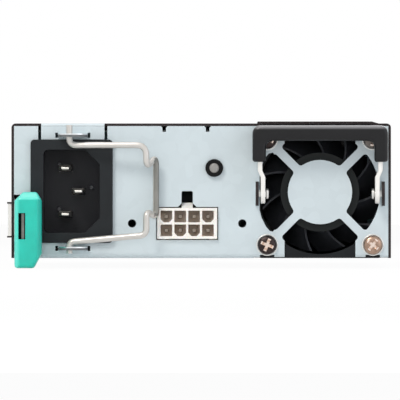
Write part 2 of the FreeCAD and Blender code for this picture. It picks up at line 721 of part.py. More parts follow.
def base_chassis():
    face = (as_size(0), s.sheet)
    floor = slab("tray_floor", "XY_Plane",
                 [(-tray_half, 0), (fan_left - s.fit, 0), (fan_left - s.fit, fan_back + s.fit),
                  (tray_half, fan_back + s.fit), (tray_half, s.case_length),
                  (-tray_half, s.case_length)], 0, s.sheet)
    front = slab("tray_front", "XZ_Plane",
                 [(-tray_half, 0), (fan_left - s.fit, 0), (fan_left - s.fit, s.grille_edge),
                  (tray_half, s.grille_edge), (tray_half, cover_under), (-tray_half, cover_under)],
                 face[0], face[1])
    rear = box("tray_rear", (-tray_half, tray_half), (wall_back, s.case_length),
               (as_size(0), cover_under))
    left_lip = box("tray_left_lip", (-tray_half, -inner_half), (lip_start, s.case_length),
                   (as_size(0), s.lip_height))
    right_lip = box("tray_right_lip", (inner_half, tray_half), (lip_start, s.case_length),
                    (as_size(0), s.lip_height))
    folded = fuse("tray_folded", floor, front, rear, left_lip, right_lip)
    bent = round_edges("tray_bent", folded, s.bend_radius,
                       lambda edge: runs_along(edge, "x") and edge.CenterOfMass.z < 0.01
                       and edge.CenterOfMass.x < 0
                       and (edge.CenterOfMass.y < 0.01
                            or edge.CenterOfMass.y > s.case_length.value - 0.01))
    opened = cut("tray_opened", bent, group("tray_openings", face_cuts() + rear_cuts()))
    ears = [bail_ear("lower_ear", lower_ear, s.sheet),
            hinge_ear("left_hinge_ear", -1), hinge_ear("right_hinge_ear", 1)]
    part("base_chassis", fuse("tray_with_ears", opened, *ears))


def top_cover():
    body = new_body("cover_body")
    pad(body, "cover_shell", "XZ_Plane",
        [(-half_width, 0), (-tray_half, 0), (-tray_half, cover_under), (tray_half, cover_under),
         (tray_half, 0), (half_width, 0), (half_width, case_height),
         (-half_width, case_height)], 0, s.case_length)
    round_body(body, "cover_bends", s.bend_radius,
               lambda edge: runs_along(edge, "y") and edge.CenterOfMass.z > case_height.value - 0.01)
    raised = s.swell_rise
    slope = s.swell_slope
    bay = (fan_left + s.sheet, fan_x + s.fan_size / 2 - s.sheet)
    bay_back = s.fan_depth + s.lead_space
    swell = slab("bay_swell", "XZ_Plane",
                 [(bay[0], case_height - s.sheet / 2), (bay[1], case_height - s.sheet / 2),
                  (bay[1] - slope, case_height + raised), (bay[0] + 0.3, case_height + raised)],
                 0, bay_back)
    hollow = slab("bay_hollow", "XZ_Plane",
                  [(bay[0] + 0.8, cover_under - s.sheet), (bay[1] - 1.2, cover_under - s.sheet),
                   (bay[1] - slope * 1.2, cover_under + raised), (bay[0] + 1.1, cover_under + raised)],
                  -s.sheet, bay_back - s.sheet)
    tab_low = flange_top + s.fit
    tab = box("cover_tab", (ear_x - s.tab_width / 2, ear_x + s.tab_width / 2),
              (as_size(0), s.sheet), (tab_low, case_height - s.sheet / 2))
    ear = bail_ear("upper_ear", upper_ear, s.sheet)
    window = box("catch_window", (-half_width - s.sheet, -tray_half + s.sheet),
                 (s.latch_catch_front - 1, s.latch_catch_front + s.latch_catch_length + 1),
                 (s.latch_catch_low - 1, s.latch_catch_top + 1))
    reliefs = ear_reliefs("upper", upper_ear)
    for name, side in (("left", -1), ("right", 1)):
        edges = sorted([ear_x + side * s.tab_width / 2,
                        ear_x + side * (s.tab_width / 2 + s.tab_slot)],
                       key=lambda size: size.value)
        reliefs.append(box(f"tab_relief_{name}", edges, (-s.sheet, s.sheet * 2),
                           (cover_under - s.sheet, case_height + s.sheet)))
    whole = fuse("cover_whole", body, swell, tab, ear)
    relieved = cut("cover_relieved", whole, group("tab_reliefs", reliefs))
    rounded = round_edges("cover_rounded", relieved, (case_height - flange_top) / 5,
                          lambda edge: runs_along(edge, "x") and edge.CenterOfMass.y < 0.01
                          and edge.CenterOfMass.z > case_height.value - 0.01
                          and abs(edge.CenterOfMass.x - ear_x.value) < 1)
    part("top_cover", cut("cover_cut", rounded, group("cover_cuts", [hollow, window])))


# ---- the mains inlet and its bail ----

def inlet_housing():
    half_w = s.inlet_flange_width / 2
    half_h = s.inlet_flange_height / 2
    body_w = s.inlet_body_width / 2
    body_h = s.inlet_body_height / 2
    body = new_body("inlet_body")
    pad(body, "inlet_flange", "XZ_Plane",
        rectangle(inlet_x - half_w, inlet_x + half_w, inlet_z - half_h, inlet_z + half_h),
        -s.inlet_flange_depth, 0)
    pad(body, "inlet_shell", "XZ_Plane",
        rectangle(inlet_x - body_w, inlet_x + body_w, inlet_z - body_h, inlet_z + body_h),
        -s.inlet_flange_depth / 2, s.inlet_body_depth)
    round_body(body, "flange_corners", s.corner_round * 1.2,
               lambda edge: runs_along(edge, "y") and edge.CenterOfMass.y < 0
               and abs(edge.CenterOfMass.x - inlet_x.value) > half_w.value - 0.01)
    rec_w = s.inlet_recess_width / 2
    rec_h = s.inlet_recess_height / 2
    rec_chamfer = s.inlet_recess_chamfer
    pocket(body, "inlet_recess", "XZ_Plane",
           [(inlet_x - rec_w, inlet_z - rec_h), (inlet_x + rec_w - rec_chamfer, inlet_z - rec_h),
            (inlet_x + rec_w, inlet_z - rec_h + rec_chamfer),
            (inlet_x + rec_w, inlet_z + rec_h - rec_chamfer),
            (inlet_x + rec_w - rec_chamfer, inlet_z + rec_h),
            (inlet_x - rec_w, inlet_z + rec_h)],
           -s.inlet_flange_depth, s.inlet_recess_depth - s.inlet_flange_depth)
    round_body(body, "recess_corners", s.inlet_recess_round,
               lambda edge: runs_along(edge, "y") and edge.Length > s.inlet_flange_depth.value * 2
               and abs(edge.CenterOfMass.x - (inlet_x - rec_w).value) < 0.01)
    floor_y = s.inlet_recess_depth - s.inlet_flange_depth
    slots = [box(f"slot_{name}", (x - s.mains_pin_width / 2, x + s.mains_pin_width / 2),
                 (floor_y - s.sheet, s.inlet_body_depth + s.sheet),
                 (z - s.mains_pin_thickness / 2, z + s.mains_pin_thickness / 2))
             for name, x, z in mains_pins()]
    part("inlet_housing", cut("inlet_cut", body, group("inlet_slots", slots)))


def mains_pins():
    line = inlet_x - s.mains_pin_line
    half = s.mains_pin_pitch / 2
    return [("live", line, inlet_z + half), ("neutral", line, inlet_z - half),
            ("earth", line + s.earth_pin_lead, inlet_z)]


def inlet_pins():
    """Flat blades with tapered ends, and their solder tabs behind."""
    front = s.inlet_recess_depth - s.inlet_flange_depth - s.mains_pin_length
    shank_front = front + s.mains_tip_length
    half_w = s.mains_pin_width / 2
    half_t = s.mains_pin_thickness / 2
    blades = []
    for name, x, z in mains_pins():
        tip = doc.addObject("Part::Wedge", f"tip_{name}")
        ends = {"Xmin": -s.mains_tip_width / 2, "Xmax": s.mains_tip_width / 2,
                "Zmin": -s.mains_tip_thickness / 2, "Zmax": s.mains_tip_thickness / 2,
                "X2min": -half_w, "X2max": half_w, "Z2min": -half_t, "Z2max": half_t,
                "Ymin": as_size(0), "Ymax": s.mains_tip_length}
        for key, size in ends.items():
            bind(tip, key, size)
        move_to(tip, x, front, z)
        shank = box(f"pin_{name}", (x - half_w, x + half_w), (shank_front, s.inlet_body_depth),
                    (z - half_t, z + half_t))
        tab = box(f"tab_{name}", (x - half_w, x + half_w),
                  (s.inlet_body_depth, s.inlet_body_depth + s.mains_tab_length),
                  (z - s.mains_pin_thickness / 5, z + s.mains_pin_thickness / 5))
        blades.append(fuse(f"blade_{name}", tip, shank, tab))
    part("inlet_pins", group("inlet_pin_group", blades))


def eased(points, cut_back):
    """A path whose sharp corners are cut off, as a bend in two steps."""
    spots = [Vector(*[as_size(item).value for item in point]) for point in points]
    path = [spots[0]]
    for before, corner, after in zip(spots, spots[1:], spots[2:]):
        inward = (before - corner).normalize()
        outward = (after - corner).normalize()
        if math.degrees(inward.getAngle(outward)) < 120:
            path += [corner + inward * cut_back, corner + outward * cut_back]
        else:
            path.append(corner)
    return path + [spots[-1]]


def bent_wire(name, points, diameter, cut_back):
    """A round wire in straight runs, mitred where it bends."""
    spots = eased(points, cut_back.value)
    reach = diameter.value * 2
    runs = []
    for index in range(len(spots) - 1):
        start, end = spots[index], spots[index + 1]
        way = (end - start).normalize()
        run = Part.makeCylinder(diameter.value / 2, (end - start).Length + reach * 2,
                                start - way * reach, way)
        for spot, other, sign in ((start, index - 1, -1), (end, index + 2, 1)):
            if 0 <= other < len(spots):
                beyond = (spots[other] - spot).normalize() * sign
                across = (way + beyond).normalize() * sign
            else:
                across = way * sign
            waste = Part.makeCylinder(reach * 2, reach * 4, spot, across)
            run = run.cut(waste)
        runs.append(run)
    item = doc.addObject("Part::Feature", name)
    item.Shape = runs[0].multiFuse(runs[1:])
    return item


def bail_wire():
    """The wire that holds the mains plug in, from its upper pivot round to the lower one."""
    top = upper_ear + s.ear_thickness + s.bail_end_above
    bottom = lower_ear - s.bail_end_below
    upper_arm = inlet_z + s.bail_upper_arm
    cross_top = inlet_z + s.bail_cross_top
    cross_foot = inlet_z - s.bail_cross_bottom
    far = bail_x + s.bail_reach
    cross = far + s.bail_cross_step
    points = [
        (bail_x, -s.bail_pivot_out, top),
        (bail_x, -s.bail_pivot_out, upper_arm),
        (far, -s.bail_arm_out, upper_arm),
        (far, -s.bail_arm_out, cross_top - s.bail_overlap),
        (cross, -s.bail_cross_out, cross_top),
        (cross, -s.bail_cross_out, cross_foot),
        (far, -s.bail_arm_out, cross_foot + s.bail_overlap),
        (far, -s.bail_arm_out, inlet_z - s.bail_lower_arm),
        (bail_x, -s.bail_pivot_out, inlet_z - s.bail_lower_root),
        (bail_x, -s.bail_pivot_out, bottom),
    ]
    part("bail_wire", bent_wire("bail", points, s.bail_wire_diameter, s.bail_bend))


def mains_leads():
    """Three short leads from the inlet's tabs straight down to the board."""
    for name, x, z in mains_pins():
        aside = s.mains_pin_width / 2 + s.lead_diameter / 2 + s.fit * 4 if name == "live" else 0
        top = z - s.mains_pin_thickness / 5
        part(f"{name}_lead", rod(f"{name}_wire", "z", x - aside,
                                 s.inlet_body_depth + s.mains_tab_length - s.lead_diameter,
                                 board_top, s.lead_diameter / 2, top - board_top))


# ---- connector and status light ----

def cavities():
    """The connector's eight cavities: name, x, z, and whether its corners are cut."""
    keyed = {(0, 1), (3, 1), (1, 0), (2, 0)}
    return [(f"{column}_{level}",
             connector_x + s.contact_pitch * (column - 1.5),
             connector_z + s.contact_pitch * (level - 0.5),
             (column, level) in keyed)
            for level in (0, 1) for column in range(4)]


def connector_housing():
    half_w = s.connector_width / 2
    half_h = s.connector_tall / 2
    body = new_body("connector_body")
    pad(body, "connector_block", "XZ_Plane",
        rectangle(connector_x - half_w, connector_x + half_w,
                  connector_z - half_h, connector_z + half_h),
        -s.connector_proud, s.connector_depth)
    top = connector_z + half_h
    pad(body, "connector_catch", "YZ_Plane",
        [(-s.catch_front, top - s.fit * 10), (s.catch_back, top - s.fit * 10),
         (s.catch_back, top + s.catch_tall), (s.catch_crest, top + s.catch_tall)],
        connector_x - s.catch_width / 2, connector_x + s.catch_width / 2)
    half = s.cavity_width / 2
    for name, x, z, keyed in cavities():
        corner = s.cavity_corner
        if keyed:
            points = [(x - half, z + half), (x - half, z - half + corner),
                      (x - half + corner, z - half), (x + half - corner, z - half),
                      (x + half, z - half + corner), (x + half, z + half)]
        else:
            points = rectangle(x - half, x + half, z - half, z + half)
        pocket(body, f"cavity_{name}", "XZ_Plane", points, -s.connector_proud,
               s.cavity_depth - s.connector_proud)
    for name, side in (("left", -1), ("right", 1)):
        foot = s.connector_foot / 2
        x = connector_x + side * (half_w - foot * 1.5)
        pad(body, f"foot_{name}", "XY_Plane",
            rectangle(x - foot, x + foot, s.sheet * 3, s.connector_depth - foot),
            board_top, connector_z - half_h + s.fit * 4)
    half = s.contact_side / 2
    holes = [box(f"pin_hole_{name}", (x - half, x + half),
                 (s.cavity_depth - s.connector_proud - s.sheet, s.connector_depth * 2),
                 (z - half, z + half))
             for name, x, z, _ in cavities()]
    part("connector_housing", cut("connector_cut", body, group("pin_holes", holes)))


def connector_pins():
    """Square contacts that turn down to the board behind the housing."""
    half = s.contact_side / 2
    pins = []
    for name, x, z, _ in cavities():
        level = 0 if z.value < connector_z.value else 1
        tail = s.connector_depth + s.contact_side + level * s.contact_step
        pins.append(slab(f"contact_{name}", "YZ_Plane",
                         [(s.sheet, z - half), (tail - half, z - half), (tail - half, board_top),
                          (tail + half, board_top), (tail + half, z + half), (s.sheet, z + half)],
                         x - half, x + half))
    part("connector_pins", group("contact_group", pins))


def status_light():
    x = connector_x + s.light_side
    z = s.light_height
    neck = s.light_ring / 2 - s.sheet
    ring = rod("ring_front", "y", x, -s.sheet * 1.5, z, s.light_ring / 2, s.sheet * 1.5)
    barrel = rod("ring_barrel", "y", x, as_size(0), z, neck, s.sheet * 6)
    bore = rod("ring_bore", "y", x, -s.sheet * 2, z, s.light_lens / 2, s.sheet * 9)
    part("led_holder", cut("holder_cut", fuse("holder_solid", ring, barrel), bore))
    part("led_lens", rod("lens_stem", "y", x, -s.sheet * 2.2, z, s.light_lens / 2, s.sheet * 8))


# ---- the fan ----

def fan_frame():
    half = s.fan_size / 2
    body = new_body("fan_block")
    pad(body, "fan_square", "XZ_Plane", rectangle(fan_x - half, fan_x + half, fan_z - half,
                                                  fan_z + half), s.sheet, fan_back)
    round_body(body, "fan_corners", s.corner_round * 2.5, lambda edge: runs_along(edge, "y"))
    waist = (s.sheet + s.fan_flange, fan_back - s.fan_flange)
    around = box("waist_block", (fan_x - s.fan_size, fan_x + s.fan_size), waist,
                 (fan_z - s.fan_size, fan_z + s.fan_size))
    barrel = rod("waist_barrel", "y", fan_x, waist[0], fan_z, fan_bore / 2 + s.barrel_wall,
                 waist[1] - waist[0])
    waist_tool = cut("waist_tool", around, barrel)
    bore = rod("fan_bore", "y", fan_x, as_size(0), fan_z, fan_bore / 2, fan_back * 2)
    shell = cut("fan_shell", body, fuse("fan_cuts", waist_tool, bore))
    seat_y = fan_back - s.fan_flange
    seat = rod("stator_seat", "y", fan_x, seat_y, fan_z, s.hub_diameter / 2 - s.hub_wall,
               s.fan_flange)
    struts = []
    for name, turn in (("a", 20), ("b", 110), ("c", 200), ("d", 290)):
        strut = doc.addObject("Part::Box", f"strut_{name}")
        bind(strut, "Length", fan_bore / 2 + s.fit)
        bind(strut, "Width", s.fan_flange)
        bind(strut, "Height", s.grille_spoke)
        strut.Placement = Placement(Vector(fan_x.value, seat_y.value, fan_z.value),
                                    Rotation(Vector(0, 1, 0), turn))
        struts.append(strut)
    sleeve_hole = rod("sleeve_hole", "y", fan_x, seat_y - s.fan_flange, fan_z,
                      s.bearing_diameter / 2, s.fan_flange * 3)
    whole = fuse("fan_whole", shell, seat, *struts)
    part("fan_frame", cut("fan_finished", whole, sleeve_hole))


hub_front = s.sheet + s.hub_setback
hub_back = hub_front + s.hub_length
hub_face = s.hub_wall * 1.3
magnet_outer = s.hub_diameter / 2 - s.hub_wall
stator_outer = magnet_outer - s.magnet_wall - s.moving_gap


def fan_impeller():
    """Hub and swept, twisted blades, drawn about Z and turned to face forward."""
    body = new_body("impeller_body")
    radius = s.hub_diameter / 2
    inner = radius - s.hub_wall
    boss = s.fan_shaft_diameter / 2 + s.boss_wall
    boss_end = -hub_face - s.boss_length
    bore = s.fan_shaft_diameter / 2
    sketch = outline(body, "hub_outline", "XZ_Plane",
                     [(bore, 0), (radius, 0), (radius, -s.hub_length),
                      (inner, -s.hub_length), (inner, -hub_face), (boss, -hub_face),
                      (boss, boss_end), (bore, boss_end)], 0)
    hub = body.newObject("PartDesign::Revolution", "hub")
    hub.Profile = sketch
    hub.ReferenceAxis = (sketch, ["V_Axis"])
    hub.Angle = 360
    tip = fan_bore / 2 - s.blade_tip_gap
    root = blade_section(body, "root", radius - s.hub_wall * 0.8, 0, s.blade_root_chord,
                         s.blade_root_pitch)
    end = blade_section(body, "tip", tip, s.blade_sweep, s.blade_tip_chord, s.blade_tip_pitch)
    blade = body.newObject("PartDesign::AdditiveLoft", "blade")
    blade.Profile = root
    blade.Sections = [end]
    blade.Ruled = True
    doc.recompute()
    ring = body.newObject("PartDesign::PolarPattern", "blade_ring")
    ring.Originals = [blade]
    ring.Axis = (origin_feature(body, "Z_Axis"), [""])
    ring.Angle = 360
    bind(ring, "Occurrences", s.blade_count)
    body.Tip = ring
    body.Placement = Placement(Vector(), Rotation(Vector(1, 0, 0), 90))
    move_to(body, fan_x, hub_front, fan_z)
    sweep = rod("tip_circle", "y", fan_x, as_size(0), fan_z, tip, fan_back)
    part("fan_impeller", common("impeller_trimmed", body, sweep))


def blade_section(body, name, level, lead, chord, pitch):
    """A blade's thin outline across the radius, at its pitch, and ahead by its lead angle."""
    sketch = body.newObject("Sketcher::SketchObject", f"section_{name}")
    sketch.AttachmentSupport = [(origin_feature(body, "YZ_Plane"), "")]
    sketch.MapMode = "FlatFace"
    bind(sketch, "AttachmentOffset.Base.z", level)
    aside = level.value * math.tan(math.radians(as_size(lead).value))
    centre = Vector(aside, -s.hub_length.value / 2, 0)
    way = Vector(math.sin(math.radians(pitch.value)), math.cos(math.radians(pitch.value)), 0)
    across = Vector(way.y, -way.x, 0)
    along = way * (chord.value / 2)
    thick = across * (s.blade_thickness.value / 2)
    corners = [centre - along - thick, centre + along - thick, centre + along + thick,
               centre - along + thick]
    for index in range(4):
        sketch.addGeometry(Part.LineSegment(corners[index], corners[(index + 1) % 4]), False)
    for index in range(4):
        following = (index + 1) % 4
        sketch.addConstraint(Sketcher.Constraint("Coincident", index, 2, following, 1))
    return sketch


def fan_motor():
    """Shaft and magnet on the rotor; bearing and stator on the frame."""
    bore = s.fan_shaft_diameter / 2
    seat_y = fan_back - s.fan_flange
    part("fan_shaft", rod("shaft_rod", "y", fan_x, hub_front, fan_z, bore,
                          fan_back - hub_front - s.sheet))
    sleeve_front = hub_front + hub_face + s.boss_length + s.moving_gap
    sleeve = rod("sleeve_outer", "y", fan_x, sleeve_front, fan_z, s.bearing_diameter / 2,
                 fan_back - sleeve_front)
    sleeve_bore = rod("sleeve_inner", "y", fan_x, sleeve_front - s.sheet, fan_z,
                      bore + s.shaft_running_fit, s.fan_depth)
    part("fan_bearing", cut("sleeve", sleeve, sleeve_bore))
    magnet_back = seat_y - s.fan_flange - s.moving_gap
    magnet_front = hub_front + hub_face
    magnet = rod("magnet_outer", "y", fan_x, magnet_front, fan_z, magnet_outer,
                 magnet_back - magnet_front)
    magnet_bore = rod("magnet_inner", "y", fan_x, magnet_front - s.sheet, fan_z,
                      magnet_outer - s.magnet_wall, s.fan_depth)
    part("fan_magnet", cut("magnet_ring", magnet, magnet_bore))
    core_y = sleeve_front + 1
    core_length = seat_y - core_y
    core = rod("core_round", "y", fan_x, core_y, fan_z, stator_outer, core_length)
    slots = []
    for name, dx, dz in (("a", 1, 1), ("b", -1, 1), ("c", -1, -1), ("d", 1, -1)):
        inner_reach = s.bearing_diameter / 4 + 1
        outer_reach = s.hub_diameter
        xs = sorted([fan_x + dx * inner_reach, fan_x + dx * outer_reach], key=lambda e: e.value)
        zs = sorted([fan_z + dz * inner_reach, fan_z + dz * outer_reach], key=lambda e: e.value)
        slots.append(box(f"core_slot_{name}", xs, (core_y - 1, seat_y + 1), zs))
    core_bore = rod("core_bore", "y", fan_x, core_y - 1, fan_z, s.bearing_diameter / 2,
                    core_length + 2)
    part("fan_stator", cut("stator_core", core, fuse("core_slots", core_bore, *slots)))


def fan_screws():
    """The heads of the fan's screws, down on the face."""
    heads = [rod(f"fan_screw_{name}", "y", x, -s.screw_head_height, z, s.fan_screw_head / 2,
                 s.screw_head_height) for name, x, z in fan_corners()]
    part("fan_screws", group("fan_screw_group", heads))


# ---- the handle ----

def strap_leg(name, side):
    """One leg of the steel strap: straight, then jogged inward to its pivot."""
    outer = grip_half - s.strap_inset
    inner = outer - s.strap_thickness
    top = grip_top - s.grip_bar / 2 + s.strap_thickness / 2
    low = hinge_z - s.strap_width / 2
    points = [(fan_x + side * (outer - s.strap_jog), low),
              (fan_x + side * (outer - s.strap_jog), jog_foot),
              (fan_x + side * outer, jog_top), (fan_x + side * outer, top),
              (fan_x + side * inner, top), (fan_x + side * inner, jog_top),
              (fan_x + side * (inner - s.strap_jog), jog_foot),
              (fan_x + side * (inner - s.strap_jog), low)]
    return slab(name, "XZ_Plane", points, -s.hinge_out - s.strap_width / 2,
                -s.hinge_out + s.strap_width / 2)


def handle_strap():
    outer = grip_half - s.strap_inset
    bar_middle = grip_top - s.grip_bar / 2
    half_t = s.strap_thickness / 2
    bar = box("strap_bar", (fan_x - outer, fan_x + outer),
              (-s.hinge_out - s.strap_width / 2, -s.hinge_out + s.strap_width / 2),
              (bar_middle - half_t, bar_middle + half_t))
    whole = fuse("strap_whole", strap_leg("strap_left", -1), strap_leg("strap_right", 1), bar)
    narrow = s.grip_back + s.corner_round
    grip_low = grip_top - s.grip_leg - s.fit
    side_profile = slab("strap_side", "YZ_Plane",
                        [(-s.hinge_out - s.strap_width / 2, hinge_z - s.strap_width / 2),
                         (-s.hinge_out + s.strap_width / 2, hinge_z - s.strap_width / 2),
                         (-s.hinge_out + s.strap_width / 2, jog_top),
                         (-narrow, grip_low), (-narrow, grip_top),
                         (-s.grip_front + s.corner_round, grip_top),
                         (-s.grip_front + s.corner_round, grip_low),
                         (-s.hinge_out - s.strap_width / 2, jog_top)],
                        fan_x - grip_half, fan_x + grip_half)
    trimmed = common("strap_trimmed", whole, side_profile)
    rounded = round_edges("strap_rounded", trimmed, s.strap_width * 0.42,
                          lambda edge: runs_along(edge, "x")
                          and edge.CenterOfMass.z < hinge_z.value
                          and edge.Length < s.strap_thickness.value * 2)
    reach = (grip_half + s.strap_thickness) * 2
    hole = rod("strap_hole", "x", fan_x - reach / 2, -s.hinge_out, hinge_z,
               s.rivet_shank / 2 + s.fit, reach)
    part("handle_strap", cut("strap_cut", rounded, hole))


def handle_grip():
    half = grip_half
    low = grip_top - s.grip_leg
    bar_low = grip_top - s.grip_bar
    inner = half - s.grip_leg_width
    body = new_body("grip_body")
    pad(body, "grip_arch", "XZ_Plane",
        [(fan_x - half, low), (fan_x - inner, low), (fan_x - inner, bar_low),
         (fan_x + inner, bar_low), (fan_x + inner, low), (fan_x + half, low),
         (fan_x + half, grip_top), (fan_x - half, grip_top)],
        -s.grip_front, -s.grip_back)
    round_body(body, "grip_shoulders", s.corner_round * 2.2,
               lambda edge: runs_along(edge, "y") and edge.CenterOfMass.z > grip_top.value - 0.01)
    round_body(body, "grip_inside", s.grip_inner_round,
               lambda edge: runs_along(edge, "y")
               and abs(edge.CenterOfMass.z - bar_low.value) < 0.01)
    round_body(body, "grip_ends", s.corner_round * 0.9,
               lambda edge: runs_along(edge, "y") and edge.CenterOfMass.z < low.value + 0.01)
    outer = grip_half - s.strap_inset
    bar_middle = grip_top - s.grip_bar / 2
    half_t = s.strap_thickness / 2
    across = (-s.grip_front + s.corner_round, -s.grip_back - s.corner_round)
    channel = [box("channel_bar", (fan_x - outer, fan_x + outer), across,
                   (bar_middle - half_t, bar_middle + half_t))]
    for name, side in (("left", -1), ("right", 1)):
        ends = sorted([fan_x + side * outer, fan_x + side * (outer - s.strap_thickness)],
                      key=lambda size: size.value)
        channel.append(box(f"channel_{name}", ends, across,
                           (low - s.corner_round, bar_middle + half_t)))
    part("handle_grip", cut("grip_cut", body, fuse("grip_channel", *channel)))


def handle_rivets():
    """Rivets flush in the ears, each with a head inside the strap."""
    rivets = []
    ear_outer = grip_half - s.hinge_ear
    strap_inner = grip_half - s.strap_inset - s.strap_jog - s.strap_thickness
    under_head = strap_inner - s.strap_play
    head_end = under_head - s.rivet_head_height
    for name, side in (("left", -1), ("right", 1)):
        shank_ends = sorted([fan_x + side * ear_outer, fan_x + side * head_end],
                            key=lambda size: size.value)
        head_ends = sorted([fan_x + side * under_head, fan_x + side * head_end],
                           key=lambda size: size.value)
        shank = rod(f"rivet_{name}_shank", "x", shank_ends[0], -s.hinge_out, hinge_z,
                    s.rivet_shank / 2, shank_ends[1] - shank_ends[0])
        head = rod(f"rivet_{name}_head", "x", head_ends[0], -s.hinge_out, hinge_z,
                   s.rivet_head / 2, s.rivet_head_height)
        rivets.append(fuse(f"rivet_{name}", shank, head))
    part("handle_rivets", group("rivet_group", rivets))


# ---- the latch ----

def latch_cap():
    left = s.latch_cap_side - half_width
    right = left + s.latch_cap_width
    corner = s.latch_cap_cut
    body = new_body("cap_body")
    pad(body, "cap_block", "XZ_Plane",
        [(left, -s.latch_cap_drop), (right - corner * 0.9, -s.latch_cap_drop),
         (right, -s.latch_cap_drop + s.latch_foot_cut), (right, s.latch_cap_top - corner),
         (right - corner * 0.6, s.latch_cap_top), (left + corner, s.latch_cap_top),
         (left, s.latch_cap_top - corner)],
        -s.latch_cap_front, -s.latch_cap_back)
    pocket(body, "cap_facet", "XY_Plane",
           [(right - s.latch_cap_facet, -s.latch_cap_front - 1), (right + 1, -s.latch_cap_front - 1),
            (right + 1, -s.latch_cap_front + s.latch_cap_facet * 2.4),
            (right, -s.latch_cap_front + s.latch_cap_facet * 2.4),
            (right - s.latch_cap_facet, -s.latch_cap_front)],
           -s.latch_cap_drop - 1, s.latch_cap_top + 1)
    brow = s.latch_cap_brow
    pocket(body, "cap_slope", "YZ_Plane",
           [(-s.latch_cap_front, s.latch_cap_top - brow), (brow - s.latch_cap_front, s.latch_cap_top),
            (brow - s.latch_cap_front, s.latch_cap_top + 1), (-s.latch_cap_front - 1, s.latch_cap_top + 1),
            (-s.latch_cap_front - 1, s.latch_cap_top - brow)], left - 1, right + 1)
    round_body(body, "cap_front_edge", s.corner_round * 0.4,
               lambda edge: abs(edge.CenterOfMass.y + s.latch_cap_front.value) < 0.01)
    pocket(body, "cap_slot", "XZ_Plane",
           rectangle(latch_x - s.latch_slot_left,
                     latch_x + s.latch_blade_thick + s.latch_slot_right,
                     s.latch_blade_low - s.fit, s.latch_blade_top + s.fit),
           -s.latch_cap_front, -s.latch_cap_front + s.latch_slot_depth)
    socket = box("cap_socket", (latch_x, latch_x + s.latch_blade_thick),
                 (s.blade_setback - s.latch_cap_front, as_size(0)),
                 (s.latch_blade_low, s.latch_blade_top))
    part("latch_cap", cut("cap_cut", body, socket))


def latch_blade():
    """The steel blade, folded out to the side catch, and thin towards its riveted end."""
    thick = s.latch_blade_thick
    spring = s.latch_spring_thick
    catch_back = s.latch_catch_front + s.latch_catch_length
    blade_end = s.blade_setback - s.latch_cap_front
    taper_end = catch_back + s.blade_taper * 1.5
    spring_end = s.latch_hinge - s.spring_gap
    pad_x = -inner_half
    body = new_body("blade_body")
    pad(body, "blade_stem", "XY_Plane",
        [(latch_x, blade_end), (latch_x + thick, blade_end),
         (latch_x + thick, taper_end - s.blade_taper), (latch_x + spring, taper_end),
         (pad_x + spring, s.latch_hinge - s.spring_run), (pad_x + spring, spring_end),
         (pad_x, spring_end), (pad_x, s.latch_hinge - s.spring_run), (latch_x, taper_end)],
        s.latch_blade_low, s.latch_blade_top)
    proud = -half_width - s.latch_catch_proud
    low, top = s.latch_catch_low, s.latch_catch_top
    for name, ends, sunk in (("ramp", (low + s.catch_flange, top - s.catch_flange), s.catch_sunk),
                             ("low_flange", (low, low + s.catch_flange), as_size(0)),
                             ("top_flange", (top - s.catch_flange, top), as_size(0))):
        pad(body, f"catch_{name}", "XY_Plane",
            [(latch_x + thick, s.latch_catch_front + 1), (latch_x + thick, catch_back),
             (latch_x, catch_back - sunk), (proud + sunk, s.latch_catch_front + 2 + sunk),
             (proud + sunk, s.latch_catch_front + 1 + sunk), (latch_x, s.latch_catch_front + sunk)],
            ends[0], ends[1])
    part("latch_blade", body)


def latch_spring():
    """The welded end of the blade's spring, against the tray's left lip."""
    leaf = box("spring_pad", (-inner_half, -inner_half + s.latch_spring_thick),
               (s.latch_hinge, s.latch_hinge + s.latch_pad_length),
               (s.latch_blade_low, s.latch_blade_top))
    part("latch_spring", leaf)


# ---- boards ----

def main_board():
    body = new_body("board_body")
    low = s.board_height
    left = -board_half
    tongue = s.tongue_width / 2
    gap = s.board_gap
    inlet_left = inlet_x - s.inlet_body_width / 2
    inlet_right = inlet_left + s.inlet_body_width + gap
    inlet_back = s.inlet_body_depth + gap
    front = s.sheet + gap
    fan_clear = fan_back + gap * 1.5
    latch_clear = s.latch_hinge + s.latch_pad_length + gap * 2
    rear = wall_back - gap
    pad(body, "board_plate", "XY_Plane",
        [(inlet_right, front), (fan_left - gap, front), (fan_left - gap, fan_clear),
         (board_half, fan_clear + s.lead_space), (board_half, rear),
         (tongue, rear), (tongue, s.case_length + s.tongue_reach),
         (-tongue, s.case_length + s.tongue_reach), (-tongue, rear),
         (left, rear), (left, latch_clear), (inlet_left, latch_clear),
         (inlet_left, inlet_back), (inlet_right, inlet_back)],
        low, board_top)
    half = s.support_neck / 2 + s.fit
    holes = [box(f"board_hole_{n}", (x - half, x + half), (y - half, y + half),
                 (low - 1, board_top + 1)) for n, (x, y) in enumerate(support_places())]
    part("main_board", cut("board_cut", body, group("board_holes", holes)))


def support_places():
    rear = wall_back - s.support_inset * 1.6
    side = board_half - s.support_inset
    middle = rectifier_row + s.support_width
    return [(fan_left - s.support_width, fan_back - s.support_inset), (-side, middle),
            (side, middle), (-side, rear), (side, rear)]


